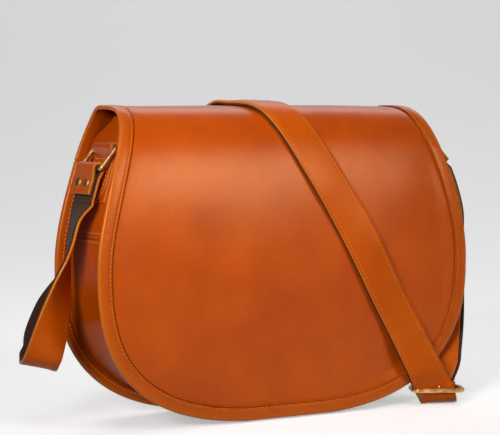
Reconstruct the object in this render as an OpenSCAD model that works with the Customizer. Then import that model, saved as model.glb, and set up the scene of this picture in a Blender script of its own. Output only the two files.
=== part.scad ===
// Saddle handbag in leather: a deep body with a full front flap, edge bindings, side rings and
// a long strap lined with webbing that lies across the flap down to a prong buckle.
// The bag stands on the floor at z = 0, its front faces -Y and X runs along its width.

/* [Body] */
// width of the body over its side flanges, at the widest height (mm)
body_width = 330; // [300:1:370]
// depth from the belly of the flap to the back panel (mm)
bag_depth = 88; // [80:1:100]
// height of the top of the flap over the floor (mm)
bag_height = 247.5; // [225:0.5:270]
// height at which the body is widest (mm)
widest_height = 123; // [112:1:132]
// how far the back panel lies behind the middle of the base (mm)
back_reach = 42; // [38:1:48]
// height of the lowest part of the outline that is cut flat so that the bag stands (mm)
base_cut = 0.9; // [0.5:0.1:2]
// inward slope of the sides above the widest height
side_taper = 0.37; // [0.3:0.005:0.4]
// thickness of the main leather (mm)
leather = 2; // [1.6:0.1:2.2]
// width of the flange that the panels and the gusset share around the body (mm)
flange_width = 8; // [7:0.5:10]

/* [Flap] */
// how far the flap reaches past the body's flanges on each side (mm)
flap_overhang = 4.6; // [3:0.1:6]
// height of the flap's lower edge over the floor (mm)
flap_rise = 1.4; // [1.2:0.1:4]
// height of the line along which the flap hinges on the back panel (mm)
hinge_height = 205; // [195:1:215]
// thickness of the flap's leather (mm)
flap_leather = 2.2; // [1.8:0.1:2.4]
// clear space between the closed flap and the front of the body (mm)
flap_space = 0.6; // [0.4:0.1:1]

/* [Bindings] */
// width of the binding along the flap's edge (mm)
flap_binding_width = 11; // [9:0.5:13]
// width of the binding along the body's edges (mm)
body_binding_width = 8; // [7:0.5:9]
// thickness of the binding leather on each face of what it wraps (mm)
binding_leather = 1.2; // [1:0.1:1.4]

/* [Side rings and tabs] */
// width of the leather tab that carries each ring (mm)
tab_width = 32; // [28:1:34]
// length of the tab below the ring's bar (mm)
tab_length = 43; // [38:1:46]
// height of the ring's upper bar over the floor (mm)
ring_height = 216; // [208:1:218]
// how far behind the middle of the base the rings stand (mm)
ring_back = 3; // [0:0.5:6]
// radius of the ring's wire (mm)
ring_wire = 1.7; // [1.5:0.1:2]
// distance between the middles of the ring's two bars (mm)
ring_length = 21; // [19:0.5:23]
// angle of the left ring out from hanging straight down (degrees)
ring_tilt_left = 40; // [30:1:50]
// angle of the right ring out from hanging straight down (degrees)
ring_tilt_right = 88; // [80:1:92]

/* [Strap] */
// width of the strap (mm)
strap_width = 30; // [28:0.5:32]
// thickness of the strap's leather (mm)
strap_leather = 2; // [1.8:0.1:2.2]
// thickness of the webbing that lines the strap (mm)
webbing = 1.4; // [1.2:0.1:1.6]
// length of the strap end folded back below each ring (mm)
fold_length = 21; // [18:0.5:24]
// angle of the left strap end out from hanging straight down (degrees)
end_lean_left = 17; // [12:1:22]
// angle of the right strap end out from hanging straight down (degrees)
end_lean_right = 45; // [38:1:50]

/* [Buckle] */
// radius of the buckle's wire (mm)
buckle_wire = 2; // [1.8:0.1:2.2]
// radius of the prong (mm)
prong_radius = 1.2; // [1:0.1:1.3]
// distance between the buckle's front bar and its heel bar (mm)
buckle_length = 21.5; // [20:0.5:24]
// angle by which the buckle is turned towards the side strap (degrees)
buckle_turn = 27; // [22:1:31]

/* [Rivets and snap] */
// radius of the rivet caps (mm)
rivet_radius = 4.3; // [3.5:0.1:4.8]
// thickness of a rivet cap (mm)
rivet_cap = 0.9; // [0.6:0.1:1.1]
// radius of the magnetic snap's two halves (mm)
snap_radius = 9; // [8:0.5:10]
// height of the magnetic snap over the floor (mm)
snap_height = 98; // [90:1:108]

/* [Hidden] */
// segments of a full circle
circle_facets = 48;
$fn = circle_facets;
// a thin margin by which cutters pass what they cut
over = 1;
// the extent of cutters that pass the whole part
vast = 2*(body_width + bag_height);

// the powers of the outline's lower curve, across and up
curve_across = 2.765;
curve_up = 2.565;
// the rounding of the bend where the sides start to taper
taper_bend_share = 0.374;
// heights of the outline's points above its widest height, as shares of the bag's height
upper_shares = [0.03, 0.065, 0.1, 0.135, 0.17, 0.415, 0.5, 0.6];
// steps along the outline's lower curve
outline_steps = 22;
// the power and lowest height of the front profile's bend, and the lean of the front below it
front_power = 3.83;
bend_start_share = 0.3232;
belly_share = 0.0194;
// the front profile's lowest point and its crest, as shares of the depth
foot_share = 0.466;
crest_share = 0.216;
// steps along the front and the back of the side profile
front_steps = 30;
back_steps = 12;

snap_thickness = 1.3;
snap_stem_radius = 3;
snap_washer = 0.8;
stem_radius = 1.5;
bar_play = 0.35;
same_play = 0.1;
seat = 0.15;
// the gap between what is fixed to the back and what turns with the flap
hinge_play = 0.3;
roll = 1;
stitch_lap = 12;
prong_slot_width = 5;
prong_slot_height = 9;
pocket_leather = 1.2;
pocket_width_share = 0.5;
pocket_low_share = 0.28;
pocket_high_share = 0.72;
pocket_round = 14;
seam_share = 0.594;
panel_top_share = 0.915;

leather_color = [0.72, 0.29, 0.06];
dark_leather_color = [0.63, 0.24, 0.03];
binding_color = [0.82, 0.42, 0.13];
webbing_color = [0.35, 0.23, 0.17];
brass_color = [0.80, 0.62, 0.33];
steel_color = [0.70, 0.68, 0.64];

// the strap's middle line from behind the hinge line over the flap and around the buckle's
// heel, as shares of the body's width, each with the direction that its leather faces
strap_run_shares = [
    [-0.1394, 0.1342, 0.6182, 0, 1, 0.001],
    [-0.1184, 0.1322, 0.6524, 0, 0.9916, 0.1297],
    [-0.0974, 0.1251, 0.686, 0, 0.9572, 0.2896],
    [-0.0768, 0.1116, 0.7181, 0, 0.8683, 0.496],
    [-0.057, 0.0886, 0.7457, 0, 0.6087, 0.7934],
    [-0.0389, 0.0533, 0.757, 0, 0.0009, 1],
    [-0.0252, 0.0198, 0.7567, 0, -0.0252, 0.9997],
    [-0.0136, -0.0143, 0.7541, 0, -0.1468, 0.9892],
    [-0.0022, -0.0481, 0.7447, 0, -0.4067, 0.9136],
    [0.0103, -0.0776, 0.7248, 0, -0.6946, 0.7194],
    [0.0292, -0.1007, 0.6943, 0, -0.8721, 0.4894],
    [0.0517, -0.1178, 0.654, 0, -0.9513, 0.3083],
    [0.0922, -0.1333, 0.585, 0, -0.9885, 0.1512],
    [0.1737, -0.1448, 0.4544, 0, -0.9994, 0.0337],
    [0.2609, -0.1485, 0.3057, 0, -1, 0.0011],
    [0.329, -0.1477, 0.199, 0, -0.9982, -0.0599],
    [0.3642, -0.1503, 0.1409, -0.03, -1, 0],
    [0.3894, -0.1542, 0.1, -0.1, -1, 0],
    [0.4103, -0.1397, 0.0661, -0.41, -0.912, 0],
    [0.4267, -0.1424, 0.0394, -0.454, -0.891, 0],
    [0.4355, -0.1404, 0.0194, -0.3859, -0.7574, -0.5],
    [0.4444, -0.1303, 0.0109, -0.1816, -0.3564, -0.92],
    [0.4534, -0.1166, 0.0091, 0, 0, -1],
    [0.4614, -0.1009, 0.0121, 0.1816, 0.3564, -0.92],
    [0.4664, -0.0892, 0.023, 0.3859, 0.7574, -0.5],
    [0.4672, -0.0848, 0.0418, 0.454, 0.891, -0.1],
    [0.4664, -0.0831, 0.0636, 0.454, 0.891, -0.15],
    [0.4727, -0.0818, 0.0939, 0.42, 0.86, -0.28],
    [0.4867, -0.0758, 0.1273, 0.48, 0.8, -0.36],
    [0.5109, -0.0612, 0.1667, 0.6, 0.68, -0.42],
    [0.5376, -0.0412, 0.2091, 0.76, 0.5, -0.42]
];
// the strap from below the left ring down around its drop and up behind the bag
strap_back_shares = [
    [-0.5048, 0.0085, 0.4848, 0.93, -0.15, -0.33],
    [-0.5176, 0.003, 0.4261, 0.75, -0.6, -0.27],
    [-0.5306, -0.0082, 0.3673, 0.35, -0.93, -0.1],
    [-0.55, -0.0182, 0.3042, 0.08, -1, 0],
    [-0.5733, -0.0224, 0.2436, 0, -1, 0],
    [-0.5985, -0.0203, 0.1888, -0.05, -0.98, -0.2],
    [-0.6091, -0.0061, 0.1642, -0.2, -0.7, -0.7],
    [-0.6076, 0.0136, 0.1603, -0.35, 0, -0.93],
    [-0.5955, 0.0348, 0.1742, -0.4, 0.65, -0.6],
    [-0.5788, 0.0652, 0.1985, -0.3, 0.87, -0.4],
    [-0.5591, 0.1, 0.2273, -0.2, 0.95, -0.2],
    [-0.5348, 0.1312, 0.2606, -0.08, 0.99, -0.08],
    [-0.4909, 0.143, 0.3, 0, 1, 0],
    [-0.4303, 0.1424, 0.3455, 0, 1, 0],
    [-0.3636, 0.1406, 0.3985, 0, 1, 0],
    [-0.297, 0.1388, 0.4545, 0, 1, 0],
    [-0.2364, 0.1367, 0.5121, 0, 1, 0],
    [-0.1848, 0.1352, 0.5667, 0, 1, 0]
];
// the short strap from below the right ring down to the buckle's heel bar
short_strap_shares = [
    [0.5667, 0.0091, 0.5364, -1, 0, -0.12],
    [0.5833, 0.0091, 0.4758, -1, 0, 0],
    [0.5797, 0.0067, 0.4121, -0.9976, -0.0698, 0],
    [0.5691, -0.003, 0.3455, -0.9816, -0.1908, 0],
    [0.5521, -0.0212, 0.2788, -0.9336, -0.3584, 0],
    [0.5294, -0.0455, 0.2242, -0.8387, -0.5446, 0],
    [0.5033, -0.0727, 0.1758, -0.7071, -0.7071, 0],
    [0.4812, -0.0958, 0.1333, -0.5736, -0.8192, 0],
    [0.4667, -0.1106, 0.1045, -0.5, -0.866, 0],
    [0.4464, -0.1147, 0.0727, -0.454, -0.891, 0]
];

function unit(v) = v/norm(v);
function left_of(v) = [-v[1], v[0]];

// the points of an open line moved to their left by a distance, keeping its straight parts parallel
function beside(line, d) = [for (i = [0:len(line) - 1])
    let (a = unit(i == 0 ? line[1] - line[0] : line[i] - line[i - 1]),
         b = unit(i == len(line) - 1 ? a : line[i + 1] - line[i]),
         m = unit(a + b))
    line[i] + left_of(m)*d/(m*a)];

function backward(line) = [for (i = [len(line) - 1:-1:0]) line[i]];

// the strip between two distances to the left of a line
module band(line, near, far) {
    polygon(concat(beside(line, near), backward(beside(line, far))));
}

// half width of the outline at a height above its widest height
function tapered(half, rise) =
    let (bend = taper_bend_share*widest_height)
    half - side_taper*(sqrt(rise*rise + bend*bend) - bend);

// the right half of an outline, from the end of its flat base up past the top
function right_side(half, low) =
    let (tall = widest_height - low,
         start = acos(pow(1 - base_cut/tall, curve_up/2)))
    concat(
        [for (i = [0:outline_steps])
            let (t = start + (90 - start)*i/outline_steps)
            [half*pow(sin(t), 2/curve_across),
             i == 0 ? low : low + (tall - tall*pow(cos(t), 2/curve_up) - base_cut)*tall
                            /(tall - base_cut)]],
        [for (s = upper_shares) [tapered(half, s*bag_height), widest_height + s*bag_height]]);

// the outline from the top left down, along the base and up to the top right
function outline_line(half, low) = let (r = right_side(half, low))
    concat([for (i = [len(r) - 1:-1:0]) [-r[i][0], r[i][1]]], r);

body_half = body_width/2;
flap_half = body_half + roll + flap_overhang;
body_line = outline_line(body_half, roll);
flap_line = outline_line(flap_half - roll, flap_rise + roll);

// an outline drawn in by a distance, cut from the plane of the panels along Y
module outline_prism(line, inset) {
    rotate([90, 0, 0]) linear_extrude(vast, center = true) polygon(beside(line, inset));
}

module outline_ring(line, outer, inner) {
    difference() {
        outline_prism(line, outer);
        outline_prism(line, inner);
    }
}

// the flap's outer face in the side view, as [y, z]
belly_y = back_reach - bag_depth;
foot_y = -foot_share*bag_depth;
crest_y = crest_share*bag_depth;
bend_start = bend_start_share*bag_height;
function front_y(z) =
    let (u = max(0, min(1, (z - bend_start)/(bag_height - bend_start))),
         low = foot_y + (belly_y - foot_y)*min(z, bend_start)/bend_start)
    low + (crest_y - belly_y)*(1 - pow(1 - pow(u, front_power), 1/front_power));
front_face = concat(
    [for (z = [-over, bend_start]) [front_y(z), z]],
    [for (i = [1:front_steps])
        let (z = bend_start + (bag_height - bend_start)*(1 - pow(1 - i/front_steps, 2)))
        [front_y(z), z]]);
back_face = [for (i = [1:back_steps]) let (t = 90*i/back_steps)
    [crest_y + (back_reach - crest_y)*sin(t),
     hinge_height + (bag_height - hinge_height)*cos(t)]];
flap_face = concat(front_face, back_face);

// the layers under the flap's outer face
flap_in = flap_leather;
panel_out = flap_in + 2*binding_leather + flap_space;
panel_in = panel_out + leather;
flange_in = panel_in + leather;
panel_top = panel_top_share*bag_height;

// a prism along X with a side view
module across() {
    rotate([90, 0, 90]) linear_extrude(vast, center = true) children();
}
// a layer under the flap's outer face
module layer(line, near, far) {
    across() band(line, -near, -far);
}
module below(height) {
    translate([-vast/2, -vast/2, height - vast]) cube(vast);
}
module above(height) {
    translate([-vast/2, -vast/2, height]) cube(vast);
}

back_in = back_reach - leather;
back_flange_in = back_in - leather;

module slab(y0, y1) {
    translate([-vast/2, y0, -vast/2]) cube([vast, y1 - y0, vast]);
}

module back_panel() {
    color(leather_color) intersection() {
        outline_prism(body_line, 0);
        slab(back_in, back_reach);
        below(hinge_height);
    }
}

module front_panel() {
    color(dark_leather_color) difference() {
        intersection() {
            outline_prism(body_line, 0);
            layer(front_face, panel_out, panel_in);
            below(panel_top);
        }
        translate([0, belly_y, snap_height]) rotate([-90, 0, 0])
            cylinder(r = snap_stem_radius, h = flange_in + over);
    }
}

wall_out = flange_width;
wall_in = flange_width + leather;
seam_height = seam_share*bag_height;
// the side view of the space between the panels, cut along the gusset's top edge
gusset_view = concat(
    [for (p = beside(front_face, -panel_in)) if (p[1] < panel_top) p],
    [[0, bag_height - flap_in - 2*leather], [crest_y, bag_height - flap_in - 3*leather],
     [back_reach - 3*leather, hinge_height + 2*flange_width],
     [back_in - leather, hinge_height + leather], [back_in, hinge_height], [back_in, -over]]);

module gusset_whole() {
    intersection() {
        outline_ring(body_line, wall_out, wall_in);
        across() polygon(gusset_view);
    }
    intersection() {
        outline_ring(body_line, 0, wall_in);
        layer(front_face, panel_in, flange_in);
        below(panel_top);
    }
    intersection() {
        outline_ring(body_line, 0, wall_in);
        slab(back_flange_in, back_in);
        below(hinge_height);
    }
}

module gusset_side() {
    color(leather_color) intersection() {
        union() {
            intersection() {
                gusset_whole();
                above(seam_height);
            }
            intersection() {
                outline_ring(body_line, wall_in, wall_in + leather);
                slab(belly_y + flange_in + leather, back_flange_in - leather);
                above(seam_height - stitch_lap);
                below(seam_height + stitch_lap);
            }
        }
        translate([0, -vast/2, -vast/2]) cube(vast);
    }
}
module gusset_right() { gusset_side(); }
module gusset_left() { mirror([1, 0, 0]) gusset_side(); }
module gusset_bottom() {
    color(leather_color) intersection() {
        gusset_whole();
        below(seam_height);
    }
}

// the leather that wraps a body edge, around the sandwich of panel and flange
module back_binding() {
    color(binding_color) difference() {
        intersection() {
            outline_ring(body_line, -roll, body_binding_width - roll);
            slab(back_flange_in - binding_leather, back_reach + binding_leather);
            below(hinge_height - binding_leather);
        }
        intersection() {
            outline_prism(body_line, 0);
            slab(back_flange_in, back_reach);
        }
    }
}
module front_binding() {
    color(binding_color) difference() {
        intersection() {
            outline_ring(body_line, -roll, body_binding_width - roll);
            layer(front_face, panel_out - binding_leather, flange_in + binding_leather);
            below(panel_top);
        }
        intersection() {
            outline_prism(body_line, 0);
            layer(front_face, panel_out, flange_in);
        }
    }
}

module inner_pocket() {
    wide = pocket_width_share*body_width;
    low = pocket_low_share*bag_height;
    high = pocket_high_share*bag_height;
    color(dark_leather_color) intersection() {
        slab(back_in - pocket_leather, back_in);
        rotate([90, 0, 0]) linear_extrude(vast, center = true) union() {
            translate([-wide/2, low + pocket_round]) square([wide, high - low - pocket_round]);
            translate([pocket_round - wide/2, low])
                square([wide - 2*pocket_round, high - low]);
            for (s = [-1, 1]) translate([s*(wide/2 - pocket_round), low + pocket_round])
                circle(pocket_round);
        }
    }
}

// what lies behind the crest and below the hinge line
module behind_hinge() {
    translate([-vast/2, crest_y, hinge_height + hinge_play - vast]) cube(vast);
}
module flap() {
    color(leather_color) difference() {
        intersection() {
            outline_prism(flap_line, 0);
            layer(flap_face, 0, flap_in);
        }
        behind_hinge();
    }
}
module flap_binding() {
    color(binding_color) difference() {
        intersection() {
            outline_ring(flap_line, -roll, flap_binding_width - roll);
            layer(flap_face, -binding_leather, flap_in + binding_leather);
        }
        behind_hinge();
        intersection() {
            outline_prism(flap_line, 0);
            layer(flap_face, 0, flap_in);
        }
    }
}

module snap_disc(y0, thick) {
    translate([0, y0, snap_height]) rotate([-90, 0, 0]) cylinder(r = snap_radius, h = thick);
}
module snap_flap_half() {
    color(steel_color) snap_disc(belly_y + flap_in + same_play, snap_thickness);
}
module snap_body_half() {
    color(steel_color) {
        snap_disc(belly_y + panel_out - same_play - snap_thickness, snap_thickness);
        translate([0, belly_y + panel_out - same_play - snap_thickness, snap_height])
            rotate([-90, 0, 0]) cylinder(r = snap_stem_radius - same_play,
                h = snap_thickness + leather + 2*same_play + snap_washer);
        snap_disc(belly_y + panel_in + same_play, snap_washer);
    }
}

// the flat stretch of the gusset's outer wall that carries the tab
wall_line = beside(body_line, wall_out);
wall_low = wall_line[len(wall_line) - 4];
wall_high = wall_line[len(wall_line) - 3];
wall_run = unit(wall_high - wall_low);
wall_lean = atan2(-wall_run[0], wall_run[1]);
loop_in = ring_wire + bar_play;
loop_out = loop_in + leather;
bar_x = wall_low[0] + wall_run[0]*(ring_height - wall_low[1])/wall_run[1]
        + (loop_out + seat)/wall_run[1];

module on_wall() {
    translate([bar_x, ring_back, ring_height]) rotate([0, -wall_lean, 0]) children();
}

// the middle line of the tab's leather around the ring's bar, in the wall's frame
tab_mid = loop_in + leather/2;
tab_front = leather*1.5 - loop_out + same_play;
tab_line = concat(
    [[-tab_mid, -tab_length], [-tab_mid, -tab_mid]],
    [for (t = [180:-15:-30]) tab_mid*[cos(t), sin(t)]],
    [[tab_front, -2.6*tab_mid], [tab_front, -tab_length + leather]]);
rivet_drop = 0.66*tab_length;

module ring_tab() {
    color(leather_color) on_wall() difference() {
        intersection() {
            rotate([90, 0, 0]) linear_extrude(tab_width, center = true)
                band(tab_line, leather/2, -leather/2);
            rotate([0, 90, 0]) linear_extrude(vast, center = true) union() {
                translate([tab_length - tab_width/2, 0]) circle(tab_width/2);
                translate([-tab_width, -tab_width/2])
                    square([tab_length + tab_width/2, tab_width]);
            }
        }
        translate([0, 0, -rivet_drop]) rotate([0, 90, 0])
            cylinder(r = stem_radius + same_play, h = vast, center = true);
    }
}
module ring_tab_right() { ring_tab(); }
module ring_tab_left() { mirror([1, 0, 0]) ring_tab(); }

module tab_rivet() {
    face = tab_front + leather/2 + same_play;
    color(brass_color) on_wall() translate([0, 0, -rivet_drop]) rotate([0, 90, 0]) {
        translate([0, 0, face]) cylinder(r1 = rivet_radius, r2 = 0.8*rivet_radius, h = rivet_cap);
        translate([0, 0, -tab_mid - leather/2])
            cylinder(r = stem_radius, h = face + tab_mid + leather/2 + rivet_cap/2);
    }
}
module tab_rivet_right() { tab_rivet(); }
module tab_rivet_left() { mirror([1, 0, 0]) tab_rivet(); }

ring_half = tab_width/2 + ring_wire + bar_play;
ring_corner = 1.5*ring_wire;
module wire_ring(half, long, wire, corner) {
    // a rounded rectangle of wire, its first bar on the Y axis and its length along -Z
    for (y = [-half, half]) translate([0, y, -long + corner])
        cylinder(r = wire, h = long - 2*corner);
    for (z = [0, -long]) translate([0, -half + corner, z]) rotate([-90, 0, 0])
        cylinder(r = wire, h = 2*(half - corner));
    for (a = [[1, 0, -corner, 0], [-1, 0, -corner, 90], [-1, 0, corner - long, 180],
              [1, 0, corner - long, 270]])
        translate([0, a[0]*(half - corner), a[2]]) rotate([0, 90, 0]) rotate([0, 0, a[3] + 90])
            rotate_extrude(angle = 90) translate([corner, 0]) circle(wire);
}
module ring_at(tilt) {
    color(brass_color) translate([bar_x, ring_back, ring_height]) rotate([0, -tilt, 0])
        wire_ring(ring_half, ring_length, ring_wire, ring_corner);
}
module ring_right() { ring_at(ring_tilt_right); }
module ring_left() { mirror([1, 0, 0]) ring_at(ring_tilt_left); }

end_in = ring_wire + same_play;
end_mid = end_in + webbing/2;
end_straight = 1.9*end_mid;
touch = webbing/2 + same_play/2;
main_length = fold_length + leather;
// the middle line of the webbing around the ring's lower bar: up the inner side, down the outer
end_line = concat(
    [[-touch, -main_length], [-touch, -end_straight - end_mid]],
    [for (t = [200:-20:-20]) end_mid*[cos(t), sin(t)]],
    [[touch, -end_straight - end_mid], [touch, -fold_length]]);
end_rivet_drop = 0.58*fold_length;
end_rivet_apart = 0.23*strap_width;

module end_strip(near, far) {
    difference() {
        rotate([90, 0, 0]) linear_extrude(strap_width, center = true) band(end_line, near, far);
        for (y = [-1, 1]) translate([0, y*end_rivet_apart, -end_rivet_drop]) rotate([0, 90, 0])
            cylinder(r = stem_radius + same_play, h = vast, center = true);
    }
}
module on_ring(tilt, lean) {
    translate([bar_x + ring_length*sin(tilt), ring_back, ring_height - ring_length*cos(tilt)])
        rotate([0, -lean, 0]) children();
}
module end_leather(tilt, lean) {
    color(leather_color) on_ring(tilt, lean)
        end_strip(webbing/2 + same_play/2, webbing/2 + same_play/2 + strap_leather);
}
module end_webbing(tilt, lean) {
    color(webbing_color) on_ring(tilt, lean) end_strip(-webbing/2, webbing/2);
}
module end_rivets(tilt, lean) {
    face = touch + webbing/2 + same_play + strap_leather;
    color(brass_color) on_ring(tilt, lean)
        for (y = [-1, 1]) translate([0, y*end_rivet_apart, -end_rivet_drop])
            rotate([0, 90, 0]) {
                translate([0, 0, face])
                    cylinder(r1 = rivet_radius, r2 = 0.8*rivet_radius, h = rivet_cap);
                translate([0, 0, -face]) cylinder(r = stem_radius, h = 2*face + rivet_cap/2);
                translate([0, 0, -face - rivet_cap]) cylinder(r = rivet_radius, h = rivet_cap);
            }
}
module end_leather_right() { end_leather(ring_tilt_right, end_lean_right); }
module end_webbing_right() { end_webbing(ring_tilt_right, end_lean_right); }
module end_rivets_right() { end_rivets(ring_tilt_right, end_lean_right); }
module end_leather_left() { mirror([1, 0, 0]) end_leather(ring_tilt_left, end_lean_left); }
module end_webbing_left() { mirror([1, 0, 0]) end_webbing(ring_tilt_left, end_lean_left); }
module end_rivets_left() { mirror([1, 0, 0]) end_rivets(ring_tilt_left, end_lean_left); }

// steps between two rows of a strap's table
ribbon_steps = 3;
function smooth_row(a, b, c, d, t) =
    0.5*((2*b) + (c - a)*t + (2*a - 5*b + 4*c - d)*t*t + (3*b - 3*c + d - a)*t*t*t);
function smooth_rows(rows) = concat(
    [for (i = [0:len(rows) - 2], k = [0:ribbon_steps - 1])
        smooth_row(rows[max(0, i - 1)], rows[i], rows[i + 1],
                   rows[min(len(rows) - 1, i + 2)], k/ribbon_steps)],
    [rows[len(rows) - 1]]);
function place_of(row) = [row[0], row[1], row[2]];
function facing_of(row) = [row[3], row[4], row[5]];
function sized(shares) = [for (r = shares)
    [r[0]*body_width, r[1]*body_width, r[2]*body_width, r[3], r[4], r[5]]];

// the four corners of a ribbon's section at one row, between two heights over its middle line
function section(rows, i, wide, near, far) =
    let (t = unit(place_of(rows[min(i + 1, len(rows) - 1)]) - place_of(rows[max(i - 1, 0)])),
         w = unit(cross(t, facing_of(rows[i]))),
         n = cross(w, t),
         p = place_of(rows[i]))
    [p + n*near - w*wide/2, p + n*near + w*wide/2, p + n*far + w*wide/2, p + n*far - w*wide/2];

module ribbon(rows, wide, near, far) {
    last = len(rows) - 1;
    points = [for (i = [0:last]) each section(rows, i, wide, near, far)];
    walls = [for (i = [0:last - 1], k = [0:3])
        let (a = 4*i + k, b = 4*i + (k + 1)%4)
        each k == 2 ? [[a, a + 4, b + 4], [a, b + 4, b]] : [[a, a + 4, b], [b, a + 4, b + 4]]];
    polyhedron(points, concat([[0, 1, 2], [0, 2, 3]], walls,
        [[4*last, 4*last + 2, 4*last + 1], [4*last, 4*last + 3, 4*last + 2]]), 20);
}

join = same_play/2;
// the buckle's heel bar, and the loop of strap end around it
heel_x_share = 0.4459;
heel_y_share = 0.1026;
heel_z_share = 0.0394;
heel_x = heel_x_share*body_width;
heel_y = -heel_y_share*body_width;
heel_z = heel_z_share*body_width;
heel_in = buckle_wire + same_play;
heel_turn = heel_in + webbing/2;
heel_rise = 1.8*heel_turn;
// a row below the main layer of a strap end, in line with it, on a ring's side of the bag
function end_row(side, tilt, lean, past) =
    let (x = bar_x + ring_length*sin(tilt) + (main_length + past)*sin(lean)
             - (touch + webbing/2)*cos(lean),
         z = ring_height - ring_length*cos(tilt) - (main_length + past)*cos(lean)
             - (touch + webbing/2)*sin(lean))
    [side*x, ring_back, z, -side*cos(lean), 0, -sin(lean)];
function end_rows(side, tilt, lean) =
    [for (past = [hinge_play, strap_width/10, strap_width/5]) end_row(side, tilt, lean, past)];
back_count = len(strap_back_shares);
back_rows = smooth_rows(concat(end_rows(-1, ring_tilt_left, end_lean_left),
    sized(strap_back_shares), [sized(strap_run_shares)[0], sized(strap_run_shares)[1]]));
run_rows = smooth_rows(concat([sized(strap_back_shares)[back_count - 1]],
    sized(strap_run_shares)));
heel_back = -heel_turn - webbing/2;
// how far the strap end lies towards the bar's outer end
heel_shift = 0.065*strap_width;
function heel_row(rise) =
    [heel_x + heel_shift*cos(buckle_turn) + heel_back*sin(buckle_turn),
     heel_y - heel_shift*sin(buckle_turn) + heel_back*cos(buckle_turn), heel_z + rise,
     -sin(buckle_turn), -cos(buckle_turn), 0];
short_rows = smooth_rows(concat(end_rows(1, ring_tilt_right, end_lean_right),
    sized(short_strap_shares), [heel_row(1.4*heel_rise), heel_row(heel_rise + 3*hinge_play)]));

module strap_back_leather() {
    color(leather_color) intersection() {
        ribbon(back_rows, strap_width, join, join + strap_leather);
        below(hinge_height);
    }
}
module strap_back_webbing() {
    color(webbing_color) intersection() {
        ribbon(back_rows, strap_width, -join - webbing, -join);
        below(hinge_height);
    }
}
module at_heel() {
    translate([heel_x, heel_y, heel_z]) rotate([0, 0, -buckle_turn]) children();
}
module prong_slot() {
    at_heel() translate([-prong_slot_width/2, -buckle_length, -prong_radius])
        cube([prong_slot_width, buckle_length - heel_turn - 2*webbing, prong_slot_height]);
}
module strap_run_leather() {
    color(leather_color) difference() {
        ribbon(run_rows, strap_width, join, join + strap_leather);
        prong_slot();
        behind_hinge();
        behind_hinge();
    }
}
module strap_run_webbing() {
    color(webbing_color) difference() {
        ribbon(run_rows, strap_width, -join - webbing, -join);
        prong_slot();
        behind_hinge();
        behind_hinge();
    }
}
module short_leather() {
    color(leather_color) ribbon(short_rows, strap_width, join, join + strap_leather);
}
module short_webbing() {
    color(webbing_color) ribbon(short_rows, strap_width, -join - webbing, -join);
}

buckle_half = strap_width/2 + 2.7*buckle_wire;
buckle_corner = 2*buckle_wire;

module buckle_frame() {
    color(brass_color) at_heel() rotate([90, 0, 0]) rotate([0, 180, 0]) rotate([0, 0, 90])
            wire_ring(buckle_half, buckle_length, buckle_wire, buckle_corner);
}

// the heel loop's middle line in side view, from its front end down, around the bar and up
heel_line = concat(
    [[-heel_turn, heel_rise - same_play], [-heel_turn, 0]],
    [for (t = [195:15:345]) heel_turn*[cos(t), sin(t)]],
    [[heel_turn, 0], [heel_turn, heel_rise]]);
module heel_strip(near, far) {
    difference() {
        at_heel() translate([heel_shift, 0, 0]) rotate([90, 0, 90])
            linear_extrude(strap_width, center = true) band(heel_line, near, far);
        at_heel() translate([-prong_slot_width/2, -vast/2, -prong_slot_width])
            cube([prong_slot_width, vast, 2*prong_slot_width]);
    }
}
module heel_leather() {
    color(leather_color)
        heel_strip(-webbing/2 - same_play/2, -webbing/2 - same_play/2 - strap_leather);
}
module heel_webbing() { color(webbing_color) heel_strip(-webbing/2, webbing/2); }

eye_in = buckle_wire + bar_play;
eye_width = 3;
prong_lift = eye_in + prong_radius;
prong_reach = buckle_length + buckle_wire;
module buckle_prong() {
    color(brass_color) at_heel() {
        difference() {
            rotate([0, 90, 0]) cylinder(r = eye_in + prong_radius, h = eye_width, center = true);
            rotate([0, 90, 0]) cylinder(r = eye_in, h = eye_width + over, center = true);
        }
        translate([0, 0, prong_lift]) rotate([90, 0, 0]) cylinder(r = prong_radius, h = prong_reach);
        translate([0, -prong_reach, prong_lift]) sphere(prong_radius);
    }
}

back_panel();
front_panel();
gusset_left();
gusset_right();
gusset_bottom();
back_binding();
front_binding();
flap();
flap_binding();
ring_tab_left();
ring_tab_right();
tab_rivet_left();
tab_rivet_right();
ring_left();
ring_right();
end_leather_left();
end_webbing_left();
end_rivets_left();
end_leather_right();
end_webbing_right();
end_rivets_right();
strap_back_leather();
strap_back_webbing();
strap_run_leather();
strap_run_webbing();
short_leather();
short_webbing();
buckle_frame();
buckle_prong();
heel_leather();
heel_webbing();
snap_flap_half();
snap_body_half();
inner_pocket();
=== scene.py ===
import bmesh, bpy, math
import numpy as np
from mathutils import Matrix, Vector


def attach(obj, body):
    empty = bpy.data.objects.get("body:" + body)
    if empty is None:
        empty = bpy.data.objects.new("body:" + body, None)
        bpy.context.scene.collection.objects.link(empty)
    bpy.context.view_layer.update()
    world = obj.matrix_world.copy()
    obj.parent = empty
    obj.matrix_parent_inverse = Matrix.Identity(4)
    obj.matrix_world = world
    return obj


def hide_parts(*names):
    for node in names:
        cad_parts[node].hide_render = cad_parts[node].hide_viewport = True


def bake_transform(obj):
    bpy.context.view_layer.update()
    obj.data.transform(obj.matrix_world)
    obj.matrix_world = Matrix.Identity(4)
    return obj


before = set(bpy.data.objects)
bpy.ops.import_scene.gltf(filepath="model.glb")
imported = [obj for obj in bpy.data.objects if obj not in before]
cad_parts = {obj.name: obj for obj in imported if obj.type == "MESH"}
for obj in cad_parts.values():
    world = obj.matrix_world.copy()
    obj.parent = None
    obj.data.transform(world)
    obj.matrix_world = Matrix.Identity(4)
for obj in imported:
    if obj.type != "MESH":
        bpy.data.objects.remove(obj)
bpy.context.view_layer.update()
mm = 0.001
print("saddle bag: frame loaded")


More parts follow.
